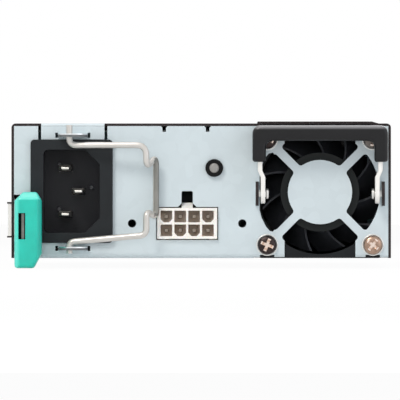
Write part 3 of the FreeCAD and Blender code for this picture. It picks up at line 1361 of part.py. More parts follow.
def board_fixings():
    """Nylon supports that snap into the board, and the film that keeps it off the tray."""
    half = s.support_neck / 2
    supports = []
    for number, (x, y) in enumerate(support_places()):
        post = doc.addObject("Part::Prism", f"post_{number}")
        post.Polygon = 6
        bind(post, "Circumradius", s.support_width / 2)
        bind(post, "Height", s.board_height - s.sheet)
        move_to(post, x, y, s.sheet)
        neck = box(f"support_neck_{number}", (x - half, x + half), (y - half, y + half),
                   (s.sheet, board_top + half))
        barb = box(f"support_barb_{number}", (x - half - s.support_barb, x + half + s.support_barb),
                   (y - half, y + half), (board_top, board_top + half * 0.6))
        supports.append(fuse(f"support_{number}", post, neck, barb))
    part("board_supports", group("support_group", supports))
    margin = s.film_margin
    film = box("film_sheet", (-inner_half + margin / 2, inner_half - margin / 2),
               (fan_back + margin, wall_back - margin),
               (s.sheet, s.sheet + s.film_thickness))
    reach = s.support_width / 2 + s.fit
    holes = [box(f"film_hole_{number}", (x - reach, x + reach), (y - reach, y + reach),
                 (as_size(0), s.board_height))
             for number, (x, y) in enumerate(support_places())]
    part("insulating_film", cut("film_cut", film, group("film_holes", holes)))


def edge_contacts():
    """Gold pads on both sides of the card edge: wide for power, narrow for signals."""
    thin = s.pad_thickness
    margin = s.pad_margin
    half = s.signal_width / 2
    start = s.case_length + margin
    end = s.case_length + s.tongue_reach - margin * 0.6
    pads = []
    power = (s.tongue_width - s.signal_zone) / 2
    for face, low in (("top", board_top), ("bottom", s.board_height - thin)):
        level = (low, low + thin)
        for number in range(4):
            width = power / 4
            for name, side in (("left", -1), ("right", 1)):
                x = side * (s.tongue_width / 2 - margin - width * (number + 0.5))
                pads.append(box(f"power_{face}_{name}_{number}", (x - width * 0.42, x + width * 0.42),
                                (start, end), level))
        for number in range(8):
            x = s.signal_pitch * (number - 3.5)
            pads.append(box(f"signal_{face}_{number}", (x - half, x + half), (start + margin, end),
                            level))
    part("edge_contacts", group("contact_pads", pads))


# ---- mains filter and rectifier row ----

def wound_core(name, x, row, width, base, height):
    """A pair of E cores closed round a wound bobbin: core node and winding node."""
    half_w = width / 2
    leg = width / 6
    block = box(f"{name}_block", (x - half_w, x + half_w), row, (base, base + height))
    windows = [box(f"{name}_window_{side}", ends, (row[0] + leg, row[1] - leg),
                   (base - 1, base + height + 1))
               for side, ends in (("left", (x - half_w + leg, x - leg)),
                                  ("right", (x + leg, x + half_w - leg)))]
    core = cut(f"{name}_core_cut", block, group(f"{name}_windows", windows))
    aside = leg + s.winding_gap
    coil = box(f"{name}_coil", (x - half_w + aside, x + half_w - aside),
               (row[0] + aside, row[1] - aside), (base, base + height + s.winding_proud))
    centre = box(f"{name}_centre", (x - leg, x + leg), row, (base - 1, base + height + 2))
    return core, cut(f"{name}_coil_cut", coil, centre)


def filter_parts():
    low = board_top
    choke_x = -s.case_width / 5
    half = s.choke_length / 2
    core, winding = wound_core("choke", choke_x, (filter_row, filter_row + s.choke_length),
                               s.choke_length, low + s.sheet, s.choke_length * 0.8)
    part("choke_core", core)
    part("choke_winding", winding)
    part("choke_base_plate", box("choke_base", (choke_x - half, choke_x + half),
                                 (filter_row, filter_row + s.choke_length),
                                 (low, low + s.sheet)))
    cap_left = choke_x + half + s.component_gap
    part("x_capacitor", box("x_capacitor_block", (cap_left, cap_left + s.x_capacitor_width),
                            (filter_row, filter_row + s.x_capacitor_length),
                            (low, low + s.x_capacitor_height)))
    fuse_back = filter_row - s.component_gap * 0.7
    fuse_x = cap_left - s.component_gap * 3
    part("mains_fuse", box("fuse_block", (fuse_x, fuse_x + s.fuse_length),
                           (fuse_back - s.fuse_width, fuse_back), (low, low + s.fuse_height)))
    core, winding = wound_core("boost", fan_x - s.component_gap,
                               (filter_row, filter_row + s.boost_length),
                               s.core_width * 0.8, low, s.core_height * 0.9)
    part("boost_core", core)
    part("boost_winding", winding)


def rectifier_parts():
    low = board_top
    gap = s.component_gap
    left = -board_half + s.relay_side
    row = (rectifier_row, rectifier_row + s.choke_length / 2)
    part("inrush_relay", box("relay_block", (left, left + s.relay_width), row,
                             (low, low + s.relay_height)))
    sink_left = left + s.relay_width + gap * 2
    upright = (low, low + s.bridge_sink_height)
    block_y = (row[0] + gap / 2, row[0] + gap / 2 + s.package_thickness)
    plate = box("bridge_plate", (sink_left, sink_left + s.bridge_sink_length),
                (block_y[1], block_y[1] + s.sink_plate), upright)
    fins = []
    for number in range(7):
        x = sink_left + gap / 2 + s.fin_pitch * number
        fins.append(box(f"bridge_fin_{number}", (x, x + s.fin_thickness),
                        (block_y[1] + s.sink_plate / 2, row[1]), upright))
    part("bridge_heat_sink", fuse("bridge_sink", plate, *fins))
    block_x = sink_left + (s.bridge_sink_length - s.bridge_length) / 2
    foot = low + s.package_stand
    block = box("bridge_block", (block_x, block_x + s.bridge_length), block_y,
                (foot, foot + s.bridge_height))
    pin_y = (block_y[0] + s.package_pin, block_y[0] + s.package_pin * 1.7)
    pins = []
    for number in range(4):
        x = block_x + s.bridge_length / 4 * (number + 0.5)
        pins.append(box(f"bridge_pin_{number}", (x - s.package_pin / 2, x + s.package_pin / 2),
                        pin_y, (low, foot)))
    part("bridge_rectifier", fuse("bridge_whole", block, *pins))


# ---- reservoir, converter and output rows ----

def bulk_capacitors():
    low = board_top
    cans = []
    radius = s.can_diameter / 2
    gap = s.component_gap
    right = board_half - gap - radius
    for name, x in (("right", right), ("left", right - s.can_diameter - gap)):
        cans.append(rod(f"can_{name}", "y", x, reservoir_row, low + radius, radius, s.can_length))
    part("bulk_capacitors", group("capacitor_group", cans))
    return right - s.can_diameter * 1.5 - gap


def sink_beside_cans(left_edge):
    """The primary heat sink along the cans, with its transistors on the outer side."""
    low = board_top
    right = left_edge - s.component_gap
    plate = (right - s.sink_plate * 1.25, right)
    along = (reservoir_row, reservoir_row + s.can_length)
    pieces = [box("primary_plate", plate, along, (low, low + s.sink_height))]
    for number in range(5):
        z = low + s.sink_height * (number + 1) / 6
        pieces.append(box(f"primary_fin_{number}", (plate[0] - s.sink_reach, plate[1]), along,
                          (z, z + s.fin_thickness)))
    part("primary_heat_sink", fuse("primary_sink", *pieces))
    outer = plate[0] - s.sink_reach
    foot = low + s.package_stand
    pin_x = (outer - s.package_thickness * 0.6, outer - s.package_thickness * 0.4)
    cases = []
    for number in range(3):
        y = along[0] + s.package_stand + s.package_pitch * number
        case = box(f"case_{number}", (outer - s.package_thickness, outer),
                   (y, y + s.package_width), (foot, foot + s.package_height))
        leg = box(f"case_leg_{number}", pin_x, (y + s.package_pin, y + s.package_width - s.package_pin),
                  (low, foot))
        cases.append(fuse(f"transistor_{number}", case, leg))
    part("power_transistors", group("transistor_group", cases))
    card_x = -board_half + s.card_side
    front = card_x + s.card_thickness
    card = box("control_card", (card_x, front), (reservoir_row, converter_row + s.core_length),
               (low, low + s.card_height))
    part("control_board", card)
    chips = []
    for number in range(4):
        y = reservoir_row + s.chip_length + s.chip_pitch * number
        chips.append(box(f"chip_{number}", (front, front + s.chip_thickness),
                         (y, y + s.chip_length), (low + s.chip_length, low + s.chip_length + s.chip_height)))
    part("control_chips", group("chip_group", chips))


def main_transformer():
    core, winding = wound_core("transformer", s.case_width / 8,
                               (converter_row, converter_row + s.core_length), s.core_width,
                               board_top, s.core_height)
    part("transformer_core", core)
    part("transformer_winding", winding)


def output_parts():
    low = board_top
    row = (rectified_row, rectified_row + s.output_can * 3)
    left = s.case_width / -6
    fin = s.sink_plate
    pieces = [box("secondary_base", (left, left + s.secondary_length),
                  (row[0], row[0] + s.sink_plate * 1.5), (low, low + s.sink_height))]
    for number in range(8):
        x = left + (s.secondary_length - fin) / 7 * number
        pieces.append(box(f"secondary_fin_{number}", (x, x + fin),
                          (row[0], row[0] + s.output_can * 2), (low, low + s.sink_height)))
    part("secondary_heat_sink", fuse("secondary_sink", *pieces))
    core, winding = wound_core("output_choke", -s.case_width / 3,
                               (row[0], row[0] + s.core_length * 0.7), s.core_width * 0.6, low,
                               s.core_height * 0.7)
    part("output_choke_core", core)
    part("output_choke_winding", winding)
    cans = [rod(f"output_can_{number}", "z", s.output_can * 2 * (number - 1),
                output_row + s.output_can / 2, low, s.output_can / 2, s.output_can_height)
            for number in range(3)]
    part("output_capacitors", group("output_can_group", cans))
    bars = [box(f"bar_{name}", ends, (bar_row, bar_row + s.output_can * 0.6),
                (low, low + s.bar_height))
            for name, ends in (("left", (-s.tongue_width / 2, -s.bar_gap)),
                               ("right", (s.bar_gap, s.tongue_width / 2)))]
    part("bus_bars", group("bar_group", bars))


def fan_lead():
    """The fan's flat lead, from its rear flange down to the board."""
    x = fan_left + s.fan_wire_width
    part("fan_lead", box("fan_wire", (x, x + s.fan_wire_width),
                         (fan_back, fan_back + s.fan_wire_thickness),
                         (board_top, board_top + s.fan_wire_height)))


# ---- build, check and write ----

base_chassis()
top_cover()
inlet_housing()
inlet_pins()
bail_wire()
mains_leads()
connector_housing()
connector_pins()
status_light()
fan_frame()
fan_impeller()
fan_motor()
fan_screws()
handle_strap()
handle_grip()
handle_rivets()
latch_cap()
latch_blade()
latch_spring()
main_board()
board_fixings()
edge_contacts()
filter_parts()
rectifier_parts()
sink_beside_cans(bulk_capacitors())
main_transformer()
output_parts()
fan_lead()

doc.recompute()
broken = [item.Label for item in doc.Objects if {"Invalid", "Error"} & set(item.State)]
unsound = [item.Label for item in parts if item.Shape.isNull() or not item.Shape.isValid()]
if broken or unsound:
    raise SystemExit(f"failed objects {broken}, unsound shapes {unsound}")
os.makedirs("parts", exist_ok=True)
for item in parts:
    item.Shape.exportStep(f"parts/{item.Label}.step")
    bounds = item.Shape.BoundBox
    print(f"{item.Label}: {len(item.Shape.Solids)} solids, volume {item.Shape.Volume:.1f},"
          f" z {bounds.ZMin:.2f} to {bounds.ZMax:.2f}")
print(len(parts), "pieces")
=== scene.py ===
# %% [markdown]
# # A hot swap server power supply
#
# On the real product a folded steel tray and cover hold a mains inlet, a fan and
# the boards. The front face carries the things a technician touches: a wire bail
# that keeps the mains plug in, a folding handle in front of the fan, and a teal
# thumb latch that lets the unit out of its bay.
#
# The sizes come from the imported CAD model. This script gives each
# CAD piece its finish, rounds the edges that light would catch, and adds the small
# things that are shaped, not machined: screw recesses, pressed seats and lenses.

# %% The imported model is the frame
import math

import bmesh
import bpy
from mathutils import Matrix, Vector


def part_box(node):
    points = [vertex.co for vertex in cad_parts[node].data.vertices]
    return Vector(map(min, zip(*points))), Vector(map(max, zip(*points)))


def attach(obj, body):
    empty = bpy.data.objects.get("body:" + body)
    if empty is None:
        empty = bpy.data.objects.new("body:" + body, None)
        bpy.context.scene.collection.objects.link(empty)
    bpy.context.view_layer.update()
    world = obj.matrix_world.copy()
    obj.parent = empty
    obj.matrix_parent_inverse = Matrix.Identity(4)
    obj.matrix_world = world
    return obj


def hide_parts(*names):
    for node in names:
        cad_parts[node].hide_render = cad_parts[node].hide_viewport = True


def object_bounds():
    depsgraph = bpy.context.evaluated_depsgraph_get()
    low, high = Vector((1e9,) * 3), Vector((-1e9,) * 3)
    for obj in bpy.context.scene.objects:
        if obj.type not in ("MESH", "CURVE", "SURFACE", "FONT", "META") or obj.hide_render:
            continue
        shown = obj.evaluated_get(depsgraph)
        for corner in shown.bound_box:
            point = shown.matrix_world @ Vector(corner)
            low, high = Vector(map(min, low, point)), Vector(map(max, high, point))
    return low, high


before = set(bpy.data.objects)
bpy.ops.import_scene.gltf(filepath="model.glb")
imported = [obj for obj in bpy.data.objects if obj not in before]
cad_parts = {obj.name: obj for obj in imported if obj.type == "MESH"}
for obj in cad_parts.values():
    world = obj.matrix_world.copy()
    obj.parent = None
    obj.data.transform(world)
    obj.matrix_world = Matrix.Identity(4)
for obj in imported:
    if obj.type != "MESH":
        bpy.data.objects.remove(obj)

cad_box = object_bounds()
MM = 0.001

# %% [markdown]
# ## Colours and nodes
#
# Colours are written as the hex values a screen shows, and turned into the linear
# numbers that a shader multiplies light by. A material could be set up socket by
# socket, but each would then fill a page. So one small function adds a node: a value
# that is another node's output is linked, and any other value is set.

# %% Colour and node helpers
def linear(hex_code):
    """A screen colour such as '33FFAA' as linear red, green, blue and alpha."""
    parts = [int(hex_code[i:i + 2], 16) / 255 for i in (0, 2, 4)]
    return [c / 12.92 if c <= 0.04045 else ((c + 0.055) / 1.055) ** 2.4 for c in parts] + [1.0]


def plug(node, *values, **sockets):
    """Fills a node's sockets, in their order or by name, with links or plain values."""
    pairs = list(zip(node.inputs, values))
    pairs += [(node.inputs[name.replace("_", " ")], value) for name, value in sockets.items()]
    for socket, value in pairs:
        if isinstance(value, bpy.types.NodeSocket):
            node.id_data.links.new(value, socket)
        else:
            socket.default_value = value
    return node


def add(tree, kind, *values, settings=None, stops=(), **sockets):
    """Adds a node with its settings, its colour stops and what goes into its sockets."""
    node = tree.nodes.new(kind)
    for name, value in (settings or {}).items():
        setattr(node, name, value)
    if stops:
        for mark, (position, colour) in zip(node.color_ramp.elements, stops):
            mark.position, mark.color = position, linear(colour)
    return plug(node, *values, **sockets)


def new_material(name):
    """An empty node material with its Principled shader and the piece's own coordinates."""
    material = bpy.data.materials.new(name)
    material.use_nodes = True
    tree = material.node_tree
    place = add(tree, "ShaderNodeTexCoord").outputs["Object"]
    return material, tree, tree.nodes["Principled BSDF"], place


print("mid grey", [round(c, 3) for c in linear("808080")])

# %% [markdown]
# ## What a metal shows
#
# The eye knows a metal by soft clouds in its tone and by fine marks from its making.
# A picture of a sample could be wrapped round it, but procedural noise has no
# seams and keeps its real size in millimetres on every piece. Rolled, drawn and
# ground parts have marks along one direction, so their noise is stretched that way.
# Galvanised sheet also has zinc crystals: Voronoi cells, each of its own grey.

# %% Metal recipe
def metal(name, light, dark, rough, patch_mm, stretch=(1, 1, 1), depth_mm=0.004, metallic=1.0,
          crystals_mm=None):
    """A metal with tone patches of a real size, and marks about an eighth as wide."""
    material, tree, shader, place = new_material(name)
    along = add(tree, "ShaderNodeMapping", Vector=place,
                Scale=[1 / s for s in stretch]).outputs["Vector"]
    tone = add(tree, "ShaderNodeTexNoise", Vector=along, Scale=1 / (patch_mm * MM),
               Detail=5.0).outputs["Fac"]
    if crystals_mm:
        cells = add(tree, "ShaderNodeTexVoronoi", Vector=place, Scale=1 / (crystals_mm * MM))
        grey = add(tree, "ShaderNodeRGBToBW", Color=cells.outputs["Color"]).outputs["Val"]
        both = add(tree, "ShaderNodeMath", grey, tone, settings={"operation": "ADD"})
        tone = add(tree, "ShaderNodeMapRange", Value=both.outputs[0], From_Min=0.6,
                   From_Max=1.4).outputs[0]
    marks = add(tree, "ShaderNodeTexNoise", Vector=along, Scale=1 / (patch_mm * 0.12 * MM),
                Detail=3.0).outputs["Fac"]
    plug(shader, Metallic=metallic,
         Base_Color=add(tree, "ShaderNodeValToRGB", Fac=tone,
                        stops=[(0.2, dark), (0.8, light)]).outputs["Color"],
         Roughness=add(tree, "ShaderNodeMapRange", Value=tone, To_Min=rough - 0.03,
                       To_Max=rough + 0.05).outputs["Result"],
         Normal=add(tree, "ShaderNodeBump", Height=marks,
                    Distance=depth_mm * MM).outputs["Normal"])
    return material


# pale blue-grey, nearly matt, with faint crystals 3 mm wide
zinc = metal("galvanised sheet steel", "CBD6DB", "C7D2D7", 0.56, 14, metallic=0.3,
             crystals_mm=3.0)
# bare steel where the sheet was cut, painted nearly black as the shade along it: a thin dark line
# round every panel
cut_edge_shade = metal("sheared edge painted dark as shade", "372F30", "221C1D", 0.5, 1.2, metallic=0.6)
# the white of fresh plating on a formed strip; also a painted highlight on the screws' seats and a
# painted reflection on the latch's catch
strap_steel_and_highlight = metal("bright zinc plated strap, also painted highlight", "F1F0ED", "E1DFDB", 0.36, 3.0, (1, 1, 4),
                    metallic=0.4)
print(zinc.name, "has", len(zinc.node_tree.nodes), "nodes")

# %% [markdown]
# ## What a moulding or a winding shows
#
# Moulded plastic takes its look from the mould: a fine spark-eroded grain, a little
# cloudiness in the colour, and a softer shine than metal. A matt black moulding
# mirrors little, so its specular level is low, and nylon lets a little light in.
# Tape and windings are the same stuff in layers, which a wave texture gives.

# %% Non-metal recipes
def moulded(name, light, dark, rough, grain_mm=0.25, depth_mm=0.012, cloud_mm=6.0, coat=0.0,
            inner=0.0, shine=0.5):
    """A moulding with clouds of a real size and the grain of its mould."""
    material, tree, shader, place = new_material(name)
    along = add(tree, "ShaderNodeMapping", Vector=place).outputs["Vector"]
    clouds = add(tree, "ShaderNodeTexNoise", Vector=along, Scale=1 / (cloud_mm * MM),
                 Detail=6.0).outputs["Fac"]
    # a mould's real grain is nearer 0.1 mm, and is drawn coarser so that it shows
    grain = add(tree, "ShaderNodeTexVoronoi", Vector=place, Scale=1 / (grain_mm * MM))
    plug(shader, Specular_IOR_Level=shine, Coat_Weight=coat,
         Base_Color=add(tree, "ShaderNodeValToRGB", Fac=clouds,
                        stops=[(0.3, dark), (0.7, light)]).outputs["Color"],
         Roughness=add(tree, "ShaderNodeMapRange", Value=clouds, To_Min=rough - 0.05,
                       To_Max=rough + 0.05).outputs["Result"],
         Normal=add(tree, "ShaderNodeBump", Height=grain.outputs["Distance"],
                    Distance=depth_mm * MM).outputs["Normal"])
    if inner:
        plug(shader, Subsurface_Weight=inner, Subsurface_Scale=1.5 * MM)
    return material


def layered(name, light, dark, rough, pitch_mm, along, depth_mm, coat):
    """Turns of wire, laps of tape or rows of laminations, from a wave across one axis."""
    material, tree, shader, place = new_material(name)
    # at a scale of 1 the wave repeats every pi / 10
    wave = add(tree, "ShaderNodeTexWave", settings={"bands_direction": along}, Vector=place,
               Scale=math.pi / (pitch_mm * MM * 10), Distortion=0.6,
               Detail_Scale=1.5).outputs["Fac"]
    plug(shader, Coat_Weight=coat,
         Base_Color=add(tree, "ShaderNodeValToRGB", Fac=wave,
                        stops=[(0.15, dark), (0.6, light)]).outputs["Color"],
         Roughness=add(tree, "ShaderNodeMapRange", Value=wave, To_Min=rough + 0.1,
                       To_Max=rough).outputs["Result"],
         Normal=add(tree, "ShaderNodeBump", Height=wave, Distance=depth_mm * MM).outputs["Normal"])
    return material


# near black with a soft gleam
fan_black = moulded("glass filled fan plastic", "17191C", "101215", 0.45, shine=0.2)
# thin, glossy and almost black
film = moulded("black insulating film", "1C1C1D", "101011", 0.2, 2.0, 0.02)
print(fan_black.name, "has", len(fan_black.node_tree.nodes), "nodes")

# %% [markdown]
# ## The view
#
# The unit stands square to the camera. A long lens from over three metres away keeps
# its sides from showing, as a short one would not, and the camera isn't tilted, so
# upright edges stay upright.

# %% Camera
CASE_LENGTH = 295.0
FACE_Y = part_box("top_cover")[1].y - CASE_LENGTH * MM
SENSOR_WIDTH, DISTANCE, VIEW_WIDTH = 36, 3.45, 121.2 * MM
EYE_X, EYE_Z = -0.36 * MM, 17.6 * MM
camera_data = bpy.data.cameras.new("front camera")
camera_data.sensor_width = SENSOR_WIDTH
camera_data.lens = SENSOR_WIDTH * DISTANCE / VIEW_WIDTH
camera_data.clip_start = 0.05
camera = bpy.data.objects.new("front camera", camera_data)
camera.location = (EYE_X, FACE_Y - DISTANCE, EYE_Z)
camera.rotation_euler = (math.radians(90), 0, 0)
bpy.context.scene.collection.objects.link(camera)
bpy.context.scene.camera = camera
bpy.context.scene.view_settings.view_transform = "Standard"
print("lens", round(camera_data.lens), "mm, face at", round(FACE_Y / MM, 2), "mm")

# %% [markdown]
# ## The light
#
# A soft light hangs at the upper left, weaker ones opposite, above and behind, and a
# broad one by the camera lights the bottoms of the deep recesses. That last one would
# show as a bright square in the steel, so it is kept out of reflections.

# %% Lights
def soft_light(name, place, aim, size, power, colour, mirrored=True):
    """A square area light in metres and watts, turned to face its aim."""
    data = bpy.data.lights.new(name, "AREA")
    data.size, data.energy, data.color = size, power, linear(colour)[:3]
    light = bpy.data.objects.new(name, data)
    light.location = place
    light.rotation_euler = (Vector(aim) - Vector(place)).to_track_quat("-Z", "Y").to_euler()
    light.visible_glossy = mirrored
    bpy.context.scene.collection.objects.link(light)


soft_light("key light", (-0.5, -0.95, 1.0), (0, -0.15, 0.02), 0.35, 9, "FFFBF4")
soft_light("top light", (-0.05, -0.08, 1.2), (0, -0.08, 0.02), 0.4, 2, "FFFFFF")
soft_light("fill light", (0.9, -0.8, 0.3), (0, -0.15, 0.02), 0.7, 2, "EEF4FF")
soft_light("back light", (0.5, 1.3, 0.8), (0, 0.1, 0.02), 0.6, 6, "F6F9FF")
soft_light("front light", (-0.1, -2.2, 0.25), (0, -0.15, 0.02), 0.6, 7.5, "FFFDF8", False)

# %% [markdown]
# ## A white room with a floor
#
# A background can be made white with more light, but then the steel washes out. So
# the Light Path node tells the rays apart: the camera, mirrors and glass see white,
# and matt surfaces get a dimmer room. The floor keeps a share of its own paint, so
# the object's shadow still falls on it.

# %% White room
def white_to_camera(tree, low, high, target, share):
    """Shows one shader to matt surfaces and another, brighter one to the camera and mirrors."""
    path = add(tree, "ShaderNodeLightPath")
    either = path.outputs["Is Camera Ray"]
    for ray in ("Is Glossy Ray", "Is Transmission Ray"):
        either = add(tree, "ShaderNodeMath", either, path.outputs[ray],
                     settings={"operation": "MAXIMUM"}).outputs[0]
    amount = add(tree, "ShaderNodeMath", either, share, settings={"operation": "MULTIPLY"})
    mixed = add(tree, "ShaderNodeMixShader", amount.outputs[0], low, high)
    tree.links.new(mixed.outputs[0], target)


world = bpy.data.worlds.new("studio")
bpy.context.scene.world = world
world.use_nodes = True
tree = world.node_tree
room = plug(tree.nodes["Background"], Color=linear("F1F5FA"), Strength=0.36)
white = add(tree, "ShaderNodeBackground", Color=(1, 1, 1, 1), Strength=1.0)
white_to_camera(tree, room.outputs[0], white.outputs[0],
                tree.nodes["World Output"].inputs["Surface"], 1.0)
print("room light", round(room.inputs["Strength"].default_value, 2))

# %% Floor
FLOOR_SIZE, FLOOR_GAP = 6.0, 0.05 * MM
floor_paint, tree, paint, place = new_material("pale studio floor")
along = add(tree, "ShaderNodeMapping", Vector=place).outputs["Vector"]
clouds = add(tree, "ShaderNodeTexNoise", Vector=along, Scale=1 / (60 * MM), Detail=4.0)
tint = add(tree, "ShaderNodeValToRGB", Fac=clouds.outputs["Fac"],
           stops=[(0.3, "F7F7F7"), (0.7, "FCFCFC")])
plug(paint, Roughness=0.9, Base_Color=tint.outputs["Color"])
glow = add(tree, "ShaderNodeEmission", Color=(1, 1, 1, 1), Strength=1.0)
white_to_camera(tree, paint.outputs[0], glow.outputs[0],
                tree.nodes["Material Output"].inputs["Surface"], 0.95)

made = bmesh.new()
bmesh.ops.create_grid(made, x_segments=1, y_segments=1, size=FLOOR_SIZE)
floor_z = cad_box[0][2] - FLOOR_GAP
bmesh.ops.translate(made, verts=made.verts, vec=(0, 0, floor_z))
floor_mesh = bpy.data.meshes.new("studio floor")
made.to_mesh(floor_mesh)
made.free()
floor_mesh.materials.append(floor_paint)
floor = bpy.data.objects.new("studio_floor", floor_mesh)
bpy.context.scene.collection.objects.link(floor)
print("floor at", round(floor_z / MM, 2), "mm")

# %% [markdown]
# ## Making a piece from a CAD solid
#
# A CAD solid arrives as loose triangles with knife edges. Real sheet has a small
# burr-free radius and real mouldings have a larger one, and that thin bright line is
# most of what tells the eye that an edge is there. So each visible piece is a welded
# copy of its solid, with its flat faces joined up again and a Bevel modifier whose
# width is the real radius.

# %% Showing and softening a piece
def show(name, mesh, body, material, stands_for=()):
    """Puts a finished mesh in the scene, on its body, in place of the nodes it stands for."""
    piece = bpy.data.objects.new(name, mesh)
    bpy.context.scene.collection.objects.link(piece)
    if not mesh.materials:
        mesh.materials.append(material)
    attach(piece, body)
    if stands_for:
        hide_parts(*stands_for)
    return piece


def soften(piece, width_mm, segments=2):
    """A live bevel of the real edge radius, with normals that keep the flat faces flat."""
    bevel = piece.modifiers.new("edge radius", "BEVEL")
    bevel.width = width_mm * MM
    bevel.segments = segments
    bevel.limit_method = "ANGLE"
    bevel.angle_limit = math.radians(30)
    bevel.harden_normals = True
    return piece


def smoothed(mesh, angle=30):
    """Smooth shading that breaks at edges sharper than the angle."""
    mesh.shade_smooth()
    mesh.set_sharp_from_angle(angle=math.radians(angle))
    return mesh


def box_mm(node):
    """A node's lowest and highest corners, in millimetres."""
    return [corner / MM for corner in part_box(node)]


print("highest point", max(round(box_mm(node)[1].z, 1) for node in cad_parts), "mm")

# %% Welded copies and painted faces
def welded(node):
    """A copy of a node's mesh with its points joined and its flat faces made whole."""
    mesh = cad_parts[node].data.copy()
    mesh.name = f"{node}_welded"
    mesh.materials.clear()
    made = bmesh.new()
    made.from_mesh(mesh)
    bmesh.ops.remove_doubles(made, verts=made.verts, dist=0.002 * MM)
    bmesh.ops.dissolve_limit(made, angle_limit=math.radians(0.6), verts=made.verts,
                             edges=made.edges)
    bmesh.ops.recalc_face_normals(made, faces=made.faces)
    made.to_mesh(mesh)
    made.free()
    if "custom_normal" in mesh.attributes:
        mesh.attributes.remove(mesh.attributes["custom_normal"])
    return smoothed(mesh)


def dressed(node, body, material, width_mm, segments=2):
    """A CAD node's finished copy: welded, bevelled and given its material."""
    piece = show(f"{node}_finished", welded(node), body, material, [node])
    return soften(piece, width_mm, segments)


def paint_faces(piece, material, wanted):
    """Gives a second material to the faces for which wanted(centre, normal) is true."""
    piece.data.materials.append(material)
    index = len(piece.data.materials) - 1
    chosen = [face for face in piece.data.polygons if wanted(face.center / MM, face.normal)]
    for face in chosen:
        face.material_index = index
    return len(chosen)


SHEET_EDGE = 0.12
face_mm = FACE_Y / MM
half_wide = box_mm("top_cover")[1].x
sheet = half_wide - box_mm("base_chassis")[1].x
roof = box_mm("base_chassis")[1].z
print("sheet", round(sheet, 2), "mm thick, its edges rounded by", SHEET_EDGE, "mm")

# %% [markdown]
# ## Tray
#
# The tray is folded from one sheet of galvanised steel, and the four windows of the
# fan's grille are stamped through its face. The left window is a little wider at its
# outer corners than the others. It could be redrawn in the mesh by hand, but a
# Boolean modifier cuts one closed shape from another and leaves a closed shape, so a
# block with the window's outline does the work of the punch.

# %% Cutting tools
def as_mesh(made, name, smooth_angle=30):
    """Turns a bmesh into a mesh that shades smoothly over small angles."""
    mesh = bpy.data.meshes.new(name)
    made.to_mesh(mesh)
    made.free()
    return smoothed(mesh, smooth_angle)


def carved(mesh, tool, name):
    """Cuts one closed mesh from another and returns the result."""
    target = bpy.data.objects.new("target", mesh)
    cutter = bpy.data.objects.new("cutter", tool)
    for item in (target, cutter):
        bpy.context.scene.collection.objects.link(item)
    cut = target.modifiers.new("cut", "BOOLEAN")
    cut.object = cutter
    cut.operation = "DIFFERENCE"
    cut.solver = "EXACT"
    cut.use_self = True
    graph = bpy.context.evaluated_depsgraph_get()
    result = bpy.data.meshes.new_from_object(target.evaluated_get(graph))
    result.name = name
    for item in (target, cutter):
        bpy.data.objects.remove(item)
    return smoothed(result, 32)


chassis = dressed("base_chassis", "case", zinc, SHEET_EDGE)
print("tray faces", len(chassis.data.polygons))

# %% Punching the wide window
EAR_REACH, PUNCH_START, PUNCH_PAST = 0.5, 0.4, 0.2
WINDOW = [(-12, 0), (-13.6, 11.2), (-14.3, 12.0), (-15.5, 11.7), (-16.8, 10.2), (-17.8, 7.6),
          (-18.3, 4.6), (-18.3, -5.4), (-17.7, -7.8), (-16.3, -10.6), (-15.2, -11.8),
          (-14.3, -12.0), (-13.6, -11.2)]
fan_lo, fan_hi = box_mm("fan_frame")
fan_at = (fan_lo + fan_hi) / 2
made = bmesh.new()
front_face = made.faces.new([
    made.verts.new(Vector((fan_at.x + x, face_mm - PUNCH_START, fan_at.z + z)) * MM)
    for x, z in WINDOW])
punch = bmesh.ops.extrude_face_region(made, geom=[front_face])["geom"]
bmesh.ops.translate(made, vec=(0, (PUNCH_START + sheet + PUNCH_PAST) * MM, 0),
                    verts=[item for item in punch if isinstance(item, bmesh.types.BMVert)])
bmesh.ops.recalc_face_normals(made, faces=made.faces)
chassis.data = carved(chassis.data, as_mesh(made, "wide window"), "chassis")
# the hinge ears' cut edges painted dark as shade
ear_edges = paint_faces(chassis, cut_edge_shade, lambda at, n: at.y < face_mm - EAR_REACH
                        and abs(n.x) < 0.5 and abs(n.z) < 0.95 and at.x > 0)
print("tray faces", len(chassis.data.polygons), "of them edges of its ears", ear_edges)

# %% [markdown]
# ## Cover
#
# The cover is held by countersunk screws that end just below its surface. A screw
# could be drawn on with a darker disc, but light from the side shows the pocket. So
# each pocket is a half outline spun into a closed cutter, and the screw in it is spun
# the same way and cut by two crossed, tapered blocks.

# %% Countersunk screws
def spun(points, centre, axis, steps):
    """Spins half of an outline, in metres, fully round an axis into a closed shape."""
    made = bmesh.new()
    verts = [made.verts.new(point) for point in points]
    edges = [made.edges.new(pair) for pair in zip(verts, verts[1:])]
    bmesh.ops.spin(made, geom=verts + edges, cent=centre, axis=axis, angle=math.tau,
                   steps=steps, use_merge=True)
    bmesh.ops.remove_doubles(made, verts=made.verts, dist=0.001 * MM)
    bmesh.ops.recalc_face_normals(made, faces=made.faces)
    return made


def countersunk(place, out, radius=2.4, depth=0.75):
    """The cutter for a flush screw's seat and the screw itself, square to any side."""
    tilt = Vector((0, 0, 1)).rotation_difference(out).to_matrix()
    seat = [(0, 0.3), (radius + 0.12, 0.3), (radius + 0.12, -0.05), (0.9, -depth), (0, -depth)]
    screw = [(0, -0.1), (radius - 0.15, -0.1), (radius - 0.05, -0.17), (1.0, -depth + 0.05),
             (0, -depth + 0.05)]
    shapes = [spun([Vector((r, 0, z)) * MM for r, z in outline], (0, 0, 0), (0, 0, 1), 32)
              for outline in (seat, screw)]
    for vert in [vert for made in shapes for vert in made.verts]:
        vert.co = tilt @ vert.co + place * MM
    return shapes


